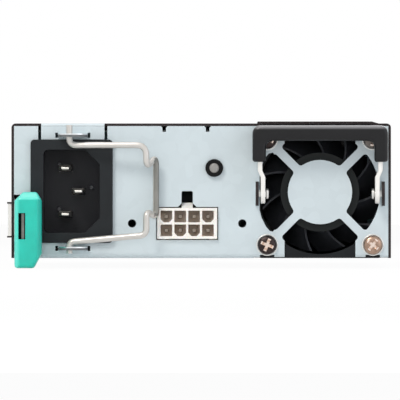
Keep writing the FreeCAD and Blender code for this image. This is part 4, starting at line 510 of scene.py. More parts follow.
def flush_cross(place, out, turn):
    """A driver's cross that cuts a flush screw from outside."""
    tilt = Vector((0, 0, 1)).rotation_difference(out).to_matrix()
    made = bmesh.new()
    for quarter in (0, 90):
        block = bmesh.ops.create_cube(made, size=1.0)["verts"]
        for vert in block:
            inner = vert.co.z < 0
            vert.co = Vector((vert.co.x * (1.5 if inner else 2.9),
                              vert.co.y * (0.35 if inner else 0.6), -0.55 if inner else 0.2))
        bmesh.ops.rotate(made, verts=block, cent=(0, 0, 0),
                         matrix=Matrix.Rotation(math.radians(quarter + turn), 3, "Z"))
    for vert in made.verts:
        vert.co = tilt @ (vert.co * MM) + place * MM
    return as_mesh(made, "flush cross")


rear_mm = box_mm("top_cover")[1].y
SIDE_HEIGHT, TOP_INSET = 8.0, 9.0
side_rows, top_rows = (face_mm + 80, rear_mm - 20), (face_mm + 90, rear_mm - 9)
print("side screws at", [round(y, 1) for y in side_rows], "top", [round(y, 1) for y in top_rows])

# %% Cover and its screws
# dull grey, a shade darker than the zinc round it
flush_steel = metal("zinc flake coated screw", "A7ADB1", "8C9296", 0.45, 0.8, metallic=0.5)
cover_mesh = welded("top_cover")
top_mm = max(v.co.z for v in cover_mesh.vertices if v.co.y / MM > rear_mm - 1) / MM
places = [(Vector((side * half_wide, y, SIDE_HEIGHT)), Vector((side, 0, 0)))
          for side in (-1, 1) for y in side_rows]
places += [(Vector((x, y, top_mm)), Vector((0, 0, 1)))
           for x in (-half_wide + TOP_INSET, half_wide - TOP_INSET) for y in top_rows]
for index, (place, out) in enumerate(places):
    pocket, screw = countersunk(place, out)
    cover_mesh = carved(cover_mesh, as_mesh(pocket, "pocket"), "carved cover")
    head = carved(as_mesh(screw, "flush screw"), flush_cross(place, out, 17 * index),
                  "flush screw")
    show(f"cover_screw_{index + 1}", head, "case", flush_steel)
cover = soften(show("top_cover_finished", cover_mesh, "case", zinc,
                    ["top_cover"]), SHEET_EDGE)
print("cover screws", len(places), "faces", len(cover_mesh.polygons), "top at", round(top_mm, 2))

# %% [markdown]
# ## Sheared edges
#
# Where sheet steel is cut, its zinc ends. The cover's front rim is painted as a thin dark
# line of painted shade, which runs down into the slots beside the tab over the inlet. The
# two ears for the bail show the cut from the front: it is burnished where the punch went
# in and torn below that, and these bands are painted as a highlight along the top and as
# shade below. The rim shares one flat face with the tab, so the mesh is first cut along
# the line where the rim ends, and then the faces are painted.

# %% Rim and slots
def split(mesh, planes):
    """Cuts a mesh's faces along planes without parting them."""
    made = bmesh.new()
    made.from_mesh(mesh)
    for point, normal in planes:
        bmesh.ops.bisect_plane(made, geom=made.verts[:] + made.edges[:] + made.faces[:],
                               dist=0.01 * MM, plane_co=Vector(point) * MM, plane_no=normal)
    made.to_mesh(mesh)
    made.free()


def rim_slots(piece, centre, reach, width):
    """Carries the rim's painted shade down into the slots at both sides of the tab."""
    near, far = reach, reach + width
    spots = [centre - far, centre - near, centre + near, centre + far]
    split(piece.data, [((x, 0, 0), (1, 0, 0)) for x in spots])
    return paint_faces(piece, cut_edge_shade, lambda at, n: near - 0.05 < abs(at.x - centre) < far + 0.05
                       and at.z > roof - 7 and at.y < face_mm + 2)


EAR_X, TAB_WIDTH, TAB_SLOT = -38.9, 19.2, 0.9
rim = half_wide - sheet
split(cover.data, [((0, 0, roof), (0, 0, 1)), ((rim, 0, 0), (1, 0, 0)), ((-rim, 0, 0), (1, 0, 0))])
# the rim's front faces painted dark as shade
rim_faces = paint_faces(cover, cut_edge_shade, lambda at, n: abs(at.y - face_mm) < 0.05 and n.y < -0.9
                        and (at.z > roof or abs(at.x) > rim))
print("rim faces", rim_faces, "slot faces", rim_slots(cover, EAR_X, TAB_WIDTH / 2, TAB_SLOT))

# %% Ends of the bail's ears
# height of the bright band painted as a highlight along each ear's top
BURNISHED = 0.35


def ear_span(piece, left, right):
    """The lowest and highest points of an ear, in millimetres."""
    heights = [v.co.z / MM for v in piece.data.vertices
               if v.co.y / MM < face_mm - 1 and left < v.co.x / MM < right]
    return min(heights), max(heights)


def ear_ends(piece, low, high):
    """Paints an ear's cut edge: burnished at its top and torn below, as a painted highlight over
    painted shade.
    """
    split(piece.data, [((0, 0, high - BURNISHED), (0, 0, 1))])
    front = lambda at, n: at.y < face_mm - 1 and low < at.z < high and abs(n.z) < 0.7
    return (paint_faces(piece, torn_and_shade, front),
            paint_faces(piece, burnished, lambda at, n: front(at, n) and at.z > high - BURNISHED))


# the burnished band of the cut, painted bright as a highlight along the ear's top
burnished = metal("burnished band painted bright as highlight", "F2F4F5", "DDE1E3", 0.3, 1.2)
# the torn band under it, painted grey as shade
torn_and_shade = metal("torn band painted grey as shade", "7E8184", "55585A", 0.6, 0.8, depth_mm=0.02,
             metallic=0.3)
spans = [ear_span(piece, EAR_X - 8, EAR_X + 8) for piece in (cover, chassis)]
print("ear faces", [ear_ends(piece, *span) for piece, span in zip((cover, chassis), spans)],
      "at", [[round(z, 1) for z in span] for span in spans])

# %% [markdown]
# ## Mains inlet
#
# The inlet is a black moulding with three flat nickel pins. On the floor of its
# recess are the round marks of the mould's ejector pins. Each mark is half of its
# outline spun about its own axis, because a spun shape is round and closed, and a
# bump in the material would vanish at a low angle.

# %% Inlet
# charcoal, with the faint blue of filled thermoplastic
inlet_black = moulded("inlet thermoplastic", "1C2023", "181B1E", 0.48, shine=0.25)
# the same moulding inside the recess, painted a little paler as light that lifts the recess's
# shade, and shinier
inlet_recess_lightened = moulded("inlet thermoplastic painted paler in the recess", "26262C", "1F2025", 0.5, shine=0.35)
# warm silver with soft highlights
nickel = metal("nickel plated brass", "F4F2EE", "E2DFD6", 0.36, 2.0)
inlet = dressed("inlet_housing", "case", inlet_black, 0.4, 3)
lo, hi = box_mm("inlet_housing")
# the recess's faces take the paler plastic, painted light in its shade
recess = paint_faces(inlet, inlet_recess_lightened,
                     lambda at, n: at.y > lo.y + 0.3 and lo.x + 2 < at.x < hi.x - 2)
dressed("inlet_pins", "case", nickel, 0.4, 3)
print("inlet", round(hi.x - lo.x, 1), "by", round(hi.z - lo.z, 1), "mm, recess faces", recess)

# %% Ejector marks
def turned(points, centre, steps=48):
    """A shape spun about the front-to-back axis from (radius, y) points in millimetres."""
    centre = Vector(centre)
    return spun([centre + Vector((r, y, 0)) * MM for r, y in points], centre, (0, 1, 0), steps)


# a spot polished by the pin, lighter than the plastic round it
mark_black = moulded("burnished mould mark", "3E3F45", "323338", 0.3, shine=0.5)
RECESS_DEPTH, MARK_HEIGHT = 16.5, 0.3
inlet_z = (lo.z + hi.z) / 2
recess_floor = lo.y + RECESS_DEPTH
top = recess_floor - MARK_HEIGHT
for index, (x, z) in enumerate([(lo.x + 8.6, inlet_z + 8.2), (lo.x + 18.3, inlet_z + 1.2),
                                (lo.x + 8.6, inlet_z - 5.4)]):
    disc = turned([(0, top + 0.15), (0.55, top + 0.12), (0.68, top), (0.85, top + 0.1),
                   (0.9, recess_floor + 0.2), (0, recess_floor + 0.2)],
                  (x * MM, 0, z * MM), 24)
    show(f"ejector_mark_{index + 1}", as_mesh(disc, "ejector mark"), "case",
         mark_black)
print("marks on the floor at", round(recess_floor, 1), "mm")

# %% [markdown]
# ## Bail
#
# The bail is one length of spring wire. It hooks into the upper ear, runs across the
# plug, steps in for its cross run and returns to the lower ear. A wire bends in arcs,
# so its path is straight runs joined by arcs. A curve object with a round bevel is
# the simplest way to give a path an even thickness, and it is then made a mesh.

# %% Rounded path and tube
def rounded_path(points, radii, steps=8):
    """The same path with each corner replaced by a curve of about that radius."""
    path = [points[0]]
    for before, corner, after, radius in zip(points, points[1:], points[2:], radii):
        back, on = (before - corner).normalized(), (after - corner).normalized()
        half = back.angle(on) / 2
        cut = min(radius * MM / math.tan(half), (before - corner).length * 0.47,
                  (after - corner).length * 0.47)
        start, end = corner + back * cut, corner + on * cut
        for step in range(steps + 1):
            t = step / steps
            path.append(start * (1 - t) ** 2 + corner * 2 * t * (1 - t) + end * t * t)
    return path + [points[-1]]


def tube(name, path, diameter):
    """A round wire along a path, as a mesh with closed ends."""
    data = bpy.data.curves.new(name, "CURVE")
    data.dimensions = "3D"
    data.bevel_depth = diameter / 2
    data.bevel_resolution = 6
    data.use_fill_caps = True
    spline = data.splines.new("POLY")
    spline.points.add(len(path) - 1)
    for point, place in zip(spline.points, path):
        point.co = (*place, 1)
    curve = bpy.data.objects.new(name, data)
    bpy.context.scene.collection.objects.link(curve)
    mesh = bpy.data.meshes.new_from_object(curve)
    bpy.data.objects.remove(curve)
    mesh.materials.clear()
    made = bmesh.new()
    made.from_mesh(mesh)
    bmesh.ops.remove_doubles(made, verts=made.verts, dist=0.002 * MM)
    made.to_mesh(mesh)
    made.free()
    return smoothed(mesh, 40)


print("a right angle in arcs:", len(rounded_path([Vector((0, 0, 0)), Vector((0, 0, 1)),
                                                  Vector((1, 0, 1))], [2.0])), "points")

# %% Bail
# drawn wire under zinc: a calm, warm grey-white
bail_steel = metal("zinc plated spring wire", "D3D0CC", "C4C0BB", 0.32, 6.0, depth_mm=0.002,
                   metallic=0.4)
# painted shade: the cross run, deeper in than the arms, painted grey for its shade
shaded_wire_steel = metal("bail wire painted grey as shade", "918F8A", "7C7B76", 0.36, 4.0, depth_mm=0.003,
                     metallic=0.5)
WIRE = 1.9
low, high = box_mm("bail_wire")
pivot_x, cross_x = low.x + WIRE / 2, high.x - WIRE / 2
far_x = cross_x - 2.9
pivot_y, cross_y, far_y = face_mm - 4.0, face_mm - 2.8, face_mm - 7.0
bail_points = [Vector(point) * MM for point in [
    (pivot_x, pivot_y, high.z), (pivot_x, pivot_y, inlet_z + 13.95),
    (far_x, far_y, inlet_z + 13.95), (far_x, far_y, inlet_z + 6.9),
    (cross_x, cross_y, inlet_z + 10.8), (cross_x, cross_y, inlet_z - 8.0),
    (far_x, far_y, inlet_z - 5.9), (far_x, far_y, inlet_z - 13.25),
    (pivot_x, pivot_y, inlet_z - 15.35), (pivot_x, pivot_y, low.z)]]
bail_path = rounded_path(bail_points, [2.2, 3.2, 1.6, 1.6, 1.6, 1.6, 2.2, 2.2])
bail = show("bail_wire_formed", tube("bail", bail_path, WIRE * MM), "bail",
            bail_steel, ["bail_wire"])
# the cross run painted grey as shade
paint_faces(bail, shaded_wire_steel, lambda at, n: at.x > cross_x - 0.55
            and inlet_z - 7.6 < at.z < inlet_z + 10.0)
print("bail from", [round(v, 1) for v in low], "to", [round(v, 1) for v in high])

# %% [markdown]
# ## Connector and status light
#
# The connector's natural nylon is nearly white outside, and its deep cavities are painted
# a paler, warmer nylon: painted light that lifts their shade. The light is a domed lens
# in a near black holder. A sphere's cap would meet the holder at a slant, so the
# dome's own half profile is spun round the axis.

# %% Connector
# milky white, with a glow under the surface
connector_white = moulded("natural nylon connector", "F4F2EE", "EAE7E2", 0.42, 0.3, 0.006,
                          inner=0.08, shine=0.3)
# painted light: a paler, warmer tone for the cavities' walls, to lift their shade
cavity_nylon_lightened = moulded("nylon painted paler in the cavities", "FFF3E8", "F4E4D6", 0.6, 0.3, shine=0.25)
# brownish grey, dulled by the air
tin = metal("tin plated copper", "A1998D", "7F776C", 0.4, 1.5)
housing = dressed("connector_housing", "case", connector_white, 0.12)
lo, hi = box_mm("connector_housing")
# the cavities' faces take the paler nylon, painted light in their shade
cavities = paint_faces(housing, cavity_nylon_lightened, lambda at, n: lo.x + 0.6 < at.x < hi.x - 0.6
                       and at.y > lo.y + 0.2 and lo.z + 0.6 < at.z < lo.z + 9.0)
dressed("connector_pins", "case", tin, 0.12)
print("connector", round(hi.x - lo.x, 1), "mm wide, cavity faces", cavities)

# %% Status light
# deep black, so that the lens stands out
ring_black = moulded("light holder plastic", "0D0D0E", "080809", 0.4, shine=0.15)
# smoky, glossy plastic over an unlit lamp
lens = moulded("diffusing lens", "989592", "7C7976", 0.14, 0.8, 0.004, coat=0.4)
dressed("led_holder", "case", ring_black, 0.2)
lo, hi = box_mm("led_lens")
middle = (lo + hi) / 2 * MM
lens_r = (hi.x - lo.x) / 2
dome = turned([(0, lo.y), (lens_r * 0.5, lo.y + 0.08), (lens_r * 0.85, lo.y + 0.3),
               (lens_r, lo.y + 0.7), (lens_r, hi.y), (0, hi.y)], (middle.x, 0, middle.z), 40)
show("led_lens_domed", as_mesh(dome, "lens", 40), "case", lens, ["led_lens"])
print("lens", round(lens_r * 2, 2), "mm across")

# %% [markdown]
# ## Fan
#
# The fan's frame and impeller are the CAD shapes with moulded edges. The CAD blades
# are straight, and real ones are swept so that they pass the frame's arms bit by bit.
# New blades could be drawn, but the straight ones already have their pitch and their
# thickness. So each point of them is turned about the axis, the further out the more.

# %% Fan
# black with a faint green cast, darker than the frame
hub_black = moulded("fan hub plastic", "101616", "0C1111", 0.42, shine=0.25)
# paler and shinier, as thin blades catch the front light
blade_black = moulded("fan blade plastic", "3E4046", "323439", 0.36, shine=0.5)
HUB_RADIUS, TIP_RADIUS, SWEEP = 12.0, 19.0, 10.0
LONGEST_EDGES = (1.6, 0.9)
dressed("fan_frame", "case", fan_black, 0.2)
shaft_lo, shaft_hi = box_mm("fan_shaft")
axis_x, axis_z = (shaft_lo.x + shaft_hi.x) / 2, (shaft_lo.z + shaft_hi.z) / 2


def swept(mesh):
    """Bends straight blades forward: each point turns about the axis by its radius."""
    made = bmesh.new()
    made.from_mesh(mesh)
    radius = lambda v: math.hypot(v.co.x / MM - axis_x, v.co.z / MM - axis_z)
    for longest in LONGEST_EDGES:
        long_edges = [e for e in made.edges if min(map(radius, e.verts)) > HUB_RADIUS - 0.5
                      and abs(radius(e.verts[0]) - radius(e.verts[1])) > longest]
        bmesh.ops.subdivide_edges(made, edges=long_edges, cuts=1)
        bmesh.ops.triangulate(made, faces=[f for f in made.faces if len(f.verts) > 4])
    for vert in made.verts:
        out = max(0.0, (radius(vert) - HUB_RADIUS) / (TIP_RADIUS - HUB_RADIUS))
        turn = Matrix.Rotation(-math.radians(SWEEP) * out ** 1.2, 3, "Y")
        axis = Vector((axis_x, 0, axis_z)) * MM
        vert.co = turn @ (vert.co - axis) + axis
    bmesh.ops.recalc_face_normals(made, faces=made.faces)
    return as_mesh(made, "swept impeller", 35)


impeller = soften(show("fan_impeller_swept", swept(welded("fan_impeller")), "fan_rotor",
                       hub_black, ["fan_impeller"]), 0.1)
blades = paint_faces(impeller, blade_black, lambda at, n: math.hypot(at.x - axis_x, at.z - axis_z)
                     > HUB_RADIUS + 0.1)
print("blade faces", blades, "round an axis at", round(axis_x, 2), round(axis_z, 2))

# %% [markdown]
# ## Fan screws
#
# A fan screw is a low domed head with a driver's cross, and round each head the sheet
# is pressed up into a thin ring, painted bright as a highlight. Head and ring are spun
# from half of their outlines. A cross could be faked with a bump, but light falls into
# a real one, so it is two tapered blocks cut out of the head, and its faces are painted
# bright as a highlight. Each screw stopped at its own angle. The two on the left are
# painted dark as shade and dark reflection, and the upper right one grey as the grip's shade.

# %% Driver's cross
def cross_tool(centre, front, turn, long=3.7, wide=1.05, deep=1.15):
    """A tapered cross, wide at the head's surface, for a driver's recess."""
    made = bmesh.new()
    for quarter in (0, 90):
        block = bmesh.ops.create_cube(made, size=1.0)["verts"]
        for vert in block:
            inner = vert.co.y > 0
            vert.co.x *= long * 0.55 if inner else long
            vert.co.z *= wide * 0.6 if inner else wide
            vert.co.y = deep if inner else -0.4
        bmesh.ops.rotate(made, verts=block, cent=(0, 0, 0),
                         matrix=Matrix.Rotation(math.radians(quarter + turn), 3, "Y"))
    for vert in made.verts:
        vert.co = Vector(centre) + Vector((vert.co.x, vert.co.y + front, vert.co.z)) * MM
    return as_mesh(made, "cross")


HEAD_RADIUS = 2.85
lo, hi = box_mm("fan_screws")
print("heads", HEAD_RADIUS * 2, "mm across and", round(hi.y - lo.y, 2), "mm high")

# %% Fan screws and their seats
# painted nearly black with a brown gleam, as the shade and dark reflections of the left screws
dark_screw_shade = metal("screw steel painted dark as shade and reflection", "4A4140", "2C2524", 0.38, 0.9, depth_mm=0.01)
# painted a warm mid grey, as the grip's shade on the upper right screw
shaded_nickel = metal("nickel screw painted grey as shade", "7D7671", "5E5854", 0.42, 0.9, depth_mm=0.01)
# warm, brownish silver
screw_nickel = metal("nickel plated screw", "B79A88", "8C7566", 0.32, 0.9, depth_mm=0.01)
# painted highlight: the faces of the driver's cross painted bright
recess_highlight = metal("driver recess painted bright as highlight", "FBEFE6", "D9C4B6", 0.3, 0.6)
front, back = lo.y, hi.y
left, right, low_z, high_z = (lo.x + HEAD_RADIUS, hi.x - HEAD_RADIUS, lo.z + HEAD_RADIUS,
                              hi.z - HEAD_RADIUS)
# the left heads painted dark as shade and dark reflection, the upper right grey as the grip's
# shade
corners = [(left, low_z, 20, dark_screw_shade), (right, low_z, 38, screw_nickel),
           (left, high_z, 25, dark_screw_shade), (right, high_z, 5, shaded_nickel)]
profile = [(0, front), (1.2, front + 0.03), (2.0, front + 0.16), (2.5, front + 0.42),
           (2.78, front + 0.8), (HEAD_RADIUS, front + 1.15), (HEAD_RADIUS, back - 0.02),
           (0, back - 0.02)]
seat = [(2.92, back), (2.96, back - 0.2), (3.04, back - 0.26), (3.16, back - 0.2),
        (3.26, back - 0.08), (3.3, back), (2.92, back)]
for index, (x, z, turn, finish) in enumerate(corners):
    axis = (x * MM, 0, z * MM)
    head = carved(as_mesh(turned(profile, axis), "head"), cross_tool(axis, front, turn),
                  "screw head")
    screw = show(f"fan_screw_{index + 1}", head, "case", finish,
                 ["fan_screws"] if index == 0 else [])
    # the faces of the cross painted bright as a highlight
    paint_faces(screw, recess_highlight, lambda at, n: front + 0.12 < at.y < front + 1.2
                and math.hypot(at.x - x, at.z - z) < 1.9)
    # the pressed ring, zinc like the face, painted bright as a highlight
    show(f"screw_seat_{index + 1}", as_mesh(turned(seat, axis), "screw seat", 50), "case",
         strap_steel_and_highlight)
print("screws", len(corners), "at", [(round(x, 1), round(z, 1)) for x, z, *_ in corners])

# %% [markdown]
# ## Handle
#
# A bright steel strap folds on two rivets in front of the fan, and a soft grip is
# moulded over its bar. The grip has larger rounds in front than behind. A bevel
# wide enough for them folds over itself in the arch's inner corners, so the grip is
# skinned: the arch's outer and inner lines are drawn with their own corners, and a
# rounded section is set across them at each station.

# %% Skinning a row of rings
def skinned(rings):
    """Joins rings of points, each to the next, and closes the first ring and the last."""
    made = bmesh.new()
    loops = []
    for ring in rings:
        verts = [made.verts.new(point) for point in ring]
        loops.append([made.edges.new(pair) for pair in zip(verts, verts[1:] + verts[:1])])
    for one, two in zip(loops, loops[1:]):
        bmesh.ops.bridge_loops(made, edges=one + two)
    bmesh.ops.edgeloop_fill(made, edges=loops[0] + loops[-1])
    bmesh.ops.recalc_face_normals(made, faces=made.faces)
    return made


def round_corner(radius, steps):
    """How far in and how far down each point of a rounded corner lies."""
    turns = [math.radians(90 * step / steps) for step in range(steps + 1)]
    return [(radius * (1 - math.cos(turn)), radius * (1 - math.sin(turn))) for turn in turns]


dressed("handle_strap", "handle", strap_steel_and_highlight, 0.2)
lo, hi = box_mm("handle_grip")
print("a rounded corner", [(round(a, 2), round(b, 2)) for a, b in round_corner(1.0, 3)])

# %% Grip
# soft black rubber: a broad, dim shine
grip_black = moulded("soft touch grip", "111114", "0C0C0E", 0.32, 0.35, 0.008, shine=0.32)
BAR, LEG, RISE = 3.7, 4.1, 1.0
FRONT_ROUND, BACK_ROUND, END_ROUND = 1.3, 0.6, 0.8
OUTER_BEND, INNER_BEND = 2.8, 2.4
grip_top, bar_low = hi.z + RISE, hi.z - BAR


def arch(left, right, top, radius):
    """One side of the arch: up the left leg, along the bar and down the right leg."""
    ends = [lo.z, lo.z + 0.06, lo.z + 0.22, lo.z + 0.46, lo.z + END_ROUND]
    bent = rounded_path([Vector((x, 0, z)) for x, z in [
        (left, ends[-1]), (left, top), (right, top), (right, ends[-1])]], [radius / MM] * 2, 10)
    return ([Vector((left, 0, z)) for z in ends[:-1]] + bent
            + [Vector((right, 0, z)) for z in ends[-2::-1]])


def section(outer, inner):
    """The rounded section between two points, drawn in towards the ends of the legs."""
    across = (inner - outer).normalized()
    short = max(0.0, END_ROUND - (outer.z - lo.z))
    shrink = END_ROUND - math.sqrt(END_ROUND ** 2 - short ** 2)
    outer, inner = outer + across * shrink, inner - across * shrink
    front, back = lo.y + shrink, hi.y - shrink
    fore, aft = round_corner(FRONT_ROUND, 5), round_corner(BACK_ROUND, 3)
    places = [(outer + across * inward, front + down) for inward, down in fore]
    places += [(inner - across * inward, front + down) for inward, down in fore[::-1]]
    places += [(inner - across * inward, back - down) for inward, down in aft]
    places += [(outer + across * inward, back - down) for inward, down in aft[::-1]]
    return [Vector((at.x, y, at.z)) * MM for at, y in places]


grip = skinned([section(outer, inner) for outer, inner in zip(
    arch(lo.x, hi.x, grip_top, OUTER_BEND), arch(lo.x + LEG, hi.x - LEG, bar_low, INNER_BEND))])
show("handle_grip_moulded", as_mesh(grip, "grip", 40), "handle", grip_black,
     ["handle_grip"])
print("grip", round(hi.x - lo.x, 1), "mm wide, its top at", round(grip_top, 1), "mm")

# %% [markdown]
# ## Painted highlights
#
# The grip's top front edge and the latch's top slope and left edge are painted paler, as
# painted highlights where light catches their rounds. A painted picture could carry this,
# but the bright places lie along straight edges. So each band is measured in millimetres
# along an axis of the piece, and mixes in the paler colour by degrees.

# %% Painted highlight on the grip's top edge
def painted_highlight(material, colour, join, *bands):
    """Mixes in a colour as a painted highlight; a band is (axis, where it starts, where it is
    full, its share).
    """
    tree = material.node_tree
    shader = tree.nodes["Principled BSDF"]
    plain = shader.inputs["Base Color"].links[0].from_socket
    place = add(tree, "ShaderNodeTexCoord").outputs["Object"]
    axes = add(tree, "ShaderNodeSeparateXYZ", Vector=place).outputs
    shares = [add(tree, "ShaderNodeMapRange", Value=axes[axis], From_Min=start * MM,
                  From_Max=full * MM, To_Max=share).outputs["Result"]
              for axis, start, full, share in bands]
    highlight_share = add(tree, "ShaderNodeMath", *shares, settings={"operation": join})
    mixed = add(tree, "ShaderNodeMix", settings={"data_type": "RGBA"}, Factor=highlight_share.outputs[0])
    tree.links.new(plain, mixed.inputs[6])
    mixed.inputs[7].default_value = linear(colour)
    plug(shader, Base_Color=mixed.outputs[2])


HIGHLIGHT_TALL = 1.3
# painted highlight along the grip's top front edge
painted_highlight(grip_black, "A9A8AC", "MULTIPLY", ("Z", grip_top - HIGHLIGHT_TALL, grip_top - 0.2, 0.8),
         ("Y", lo.y + 2.2, lo.y + 1.0, 1.0))
print("polish from", round(grip_top - HIGHLIGHT_TALL, 1), "mm up to the grip's top")

# %% Rivets
# a turned head's clean silver
rivet_steel = metal("turned steel rivet", "F0EFEC", "C9C8C6", 0.32, 1.0)
rivets = dressed("handle_rivets", "case", rivet_steel, 0.15)
print("rivet faces", len(rivets.data.polygons))

# %% [markdown]
# ## Latch
#
# The teal thumb cap is a moulding with a rounded front edge, a slope over its top and
# a facet down its right side. It could be a block with planes cut off it, but the
# mould has no sharp creases between them. So the cap is built from rings of its own
# outline, each further in, and every point is pushed back by the edge, the slope and
# the facet together. A slot in its front shows the end of the steel blade.

# %% Outline of the thumb cap
STEP = 0.6
lo, hi = box_mm("latch_cap")
wide, tall = hi.x - lo.x, hi.z - lo.z
corners = [Vector((lo.x + x, 0, lo.z + z)) * MM for x, z in [
    (0, 0), (wide - 2.34, 0), (wide, 4.4), (wide, tall - 2.6), (wide - 1.56, tall), (2.6, tall),
    (0, tall - 2.6)]]
rough_path = rounded_path([corners[-1]] + corners + [corners[0]], [1.1] * 7, 4)[1:-1]
outline = []
for start, end in zip(rough_path, rough_path[1:] + rough_path[:1]):
    pieces = max(1, round((end - start).length / (STEP * MM)))
    outline += [start.lerp(end, step / pieces) for step in range(pieces)]
print("cap", round(wide, 2), "by", round(tall, 2), "mm, points round it", len(outline))

# %% Front of the thumb cap
EDGE, SLOPE, FACET, SPINE_INSET = 1.2, 2.3, 1.6, 4.0


def eased(past, blend=0.7):
    """Nought before a crease, then a straight slope, with a soft turn between them."""
    past = max(0.0, past)
    return past ** 2 / (2 * blend) if past < blend else past - blend / 2


def front_depth(point, inward):
    """How far back the front is here: a rounded edge, the top's slope and the right facet."""
    short = max(0.0, EDGE - inward)
    edge = EDGE - math.sqrt(EDGE ** 2 - short ** 2)
    slope = eased(point.z / MM - (hi.z - SLOPE)) * 1.15
    facet = eased(point.x / MM - (hi.x - FACET)) * 1.25
    return (edge ** 2 + slope ** 2 + facet ** 2) ** 0.5


def on_spine(point):
    """The place on the cap's upright middle line that a point is drawn in towards."""
    return Vector(((lo.x + hi.x) / 2 * MM, 0,
                   min(max(point.z, (lo.z + SPINE_INSET) * MM), (hi.z - SPINE_INSET) * MM)))


rings = [[Vector((p.x, hi.y * MM, p.z)) for p in outline]]
for share in (0.0, 0.02, 0.05, 0.09, 0.14, 0.2, 0.27, 0.35, 0.45, 0.58, 0.72, 0.86, 1.0):
    ring = []
    for p in outline:
        at = p.lerp(on_spine(p), share)
        at.y = (lo.y + front_depth(at, (at - p).length / MM)) * MM
        ring.append(at)
    rings.append(ring)
cap = bmesh.new()
loops = [[cap.verts.new(point) for point in ring] for ring in rings]
# bridged faces start at other corners, and the slot's cut then leaves slivers on them
for outer, inner in zip(loops, loops[1:]):
    for k in range(len(outline)):
        cap.faces.new([outer[k], outer[k - 1], inner[k - 1], inner[k]])
cap.faces.new(loops[0])
bmesh.ops.remove_doubles(cap, verts=cap.verts, dist=0.01 * MM)
bmesh.ops.dissolve_degenerate(cap, dist=0.005 * MM, edges=cap.edges)
bmesh.ops.recalc_face_normals(cap, faces=cap.faces)
cap_mesh = as_mesh(cap, "thumb cap", 40)
print("cap faces", len(cap_mesh.polygons))

# %% Thumb cap
# the one bright colour on the unit, a little see-through at its edges
teal = moulded("teal acetal", "1FC6B3", "19B8A6", 0.33, 0.3, 0.006, inner=0.05)
# the same in deep shade
slot_teal = moulded("teal acetal inside the slot", "123C38", "0C2B28", 0.6, shine=0.1)
# painted highlight on the cap's top slope and its left edge
painted_highlight(teal, "5FE0D0", "MAXIMUM", ("Z", hi.z - SLOPE - 0.15, hi.z - SLOPE + 0.2, 1.0),
         ("X", lo.x + 1.7, lo.x + 0.7, 1.0))
slot_lo = Vector((lo.x + 1.2, lo.y - 1, 5.75))
slot_hi = Vector((lo.x + 3.3, lo.y + 5.0, 13.65))
slot = bmesh.new()
block = bmesh.ops.create_cube(slot, size=1.0)["verts"]
bmesh.ops.scale(slot, vec=slot_hi - slot_lo, verts=block)
bmesh.ops.translate(slot, vec=(slot_lo + slot_hi) / 2, verts=block)
bmesh.ops.scale(slot, vec=(MM, MM, MM), verts=block)
thumb = show("latch_cap_moulded", carved(cap_mesh, as_mesh(slot, "slot"), "thumb cap"), "latch",
             teal, ["latch_cap"])
dark = paint_faces(thumb, slot_teal, lambda at, n: at.y > lo.y + 1
                   and slot_lo.x - 0.1 < at.x < slot_hi.x + 0.1
                   and slot_lo.z - 0.1 < at.z < slot_hi.z + 0.1)
print("slot faces", dark)

# %% Blade and spring
# mid grey, with marks along its length
spring_steel = metal("blued spring steel", "8E8F8A", "6C6D69", 0.36, 2.0, (1, 4, 1))
RAMP_LOW, RAMP_HIGH = 6.8, 16.4
blade = dressed("latch_blade", "latch", spring_steel, 0.1)
catch = lambda at, n: face_mm + 2 < at.y < face_mm + 18 and at.x < -half_wide + 2 and n.y < -0.3
# the catch's ramp painted bright as a painted reflection of the white room
ramp_faces = paint_faces(blade, strap_steel_and_highlight,
                         lambda at, n: catch(at, n) and RAMP_LOW < at.z < RAMP_HIGH)
# the catch's flange edges painted dark as shade
flanges = paint_faces(blade, cut_edge_shade,
                      lambda at, n: catch(at, n) and not RAMP_LOW < at.z < RAMP_HIGH)
dressed("latch_spring", "case", spring_steel, 0.1)
print("ramp faces", ramp_faces, "flange faces", flanges)

# %% [markdown]
# ## Inside the case
#
# The pieces inside are seen only through the vents and the open bay. They could be
# finished as finely as the face, but nothing there would show it. So the CAD solids
# keep their own shape and take their real finish, but the board's edge and the capacitor
# are painted dark as the shade they lie in. Behind the fan, a folded baffle guides the air
# over the parts, and a black seal closes the gap under the board; its black also stands
# in for the shade over the board.

# %% Air baffle
def folded_sheet(points, thick, x_low, x_high, radius_steps=4):
    """A thin sheet folded along a side view's (y, z) path and as wide as asked."""
    path = rounded_path([Vector((0, y, z)) * MM for y, z in points],
                        [1.0] * (len(points) - 2), radius_steps)
    rows = []
    for before, point, after in zip(path[:1] + path[:-1], path, path[1:] + path[-1:]):
        run = (after - before).normalized()
        side = Vector((0, -run.z, run.y)) * thick / 2 * MM
        rows.append([point + offset + Vector((x * MM, 0, 0))
                     for x, offset in ((x_low, side), (x_high, side), (x_high, -side),
                                       (x_low, -side))])
    return skinned(rows)


FILM_THICK = 0.4
behind = fan_hi.y + 3.2
baffle = folded_sheet([(behind + 6, roof - 0.3), (behind, roof - 0.3), (behind, 33.5),
                       (behind + 2.2, 31.3)], FILM_THICK, fan_lo.x - 0.5, fan_hi.x - 1.5)
show("air_baffle", as_mesh(baffle, "air baffle"), "case", film)
print("baffle", round(behind - fan_hi.y, 1), "mm behind the fan")

# %% Main board and its seal
# deep green under clear lacquer
board_green = moulded("solder mask", "1E6B3A", "154F2B", 0.28, 0.6, 0.02, 3.0, 0.4)
# the board's cut edge: dull, and painted nearly black as the shade it lies in
board_edge_shade = moulded("board edge painted dark as shade", "26281C", "1A1C13", 0.6, shine=0.2)
board = show("main_board_finished", welded("main_board"), "case", board_green,
             ["main_board"])
board_low, film_top = box_mm("main_board")[0].z, box_mm("insulating_film")[1].z
# the board's edges painted nearly black as shade
edge_faces = paint_faces(board, board_edge_shade, lambda at, n: abs(n.z) < 0.2)
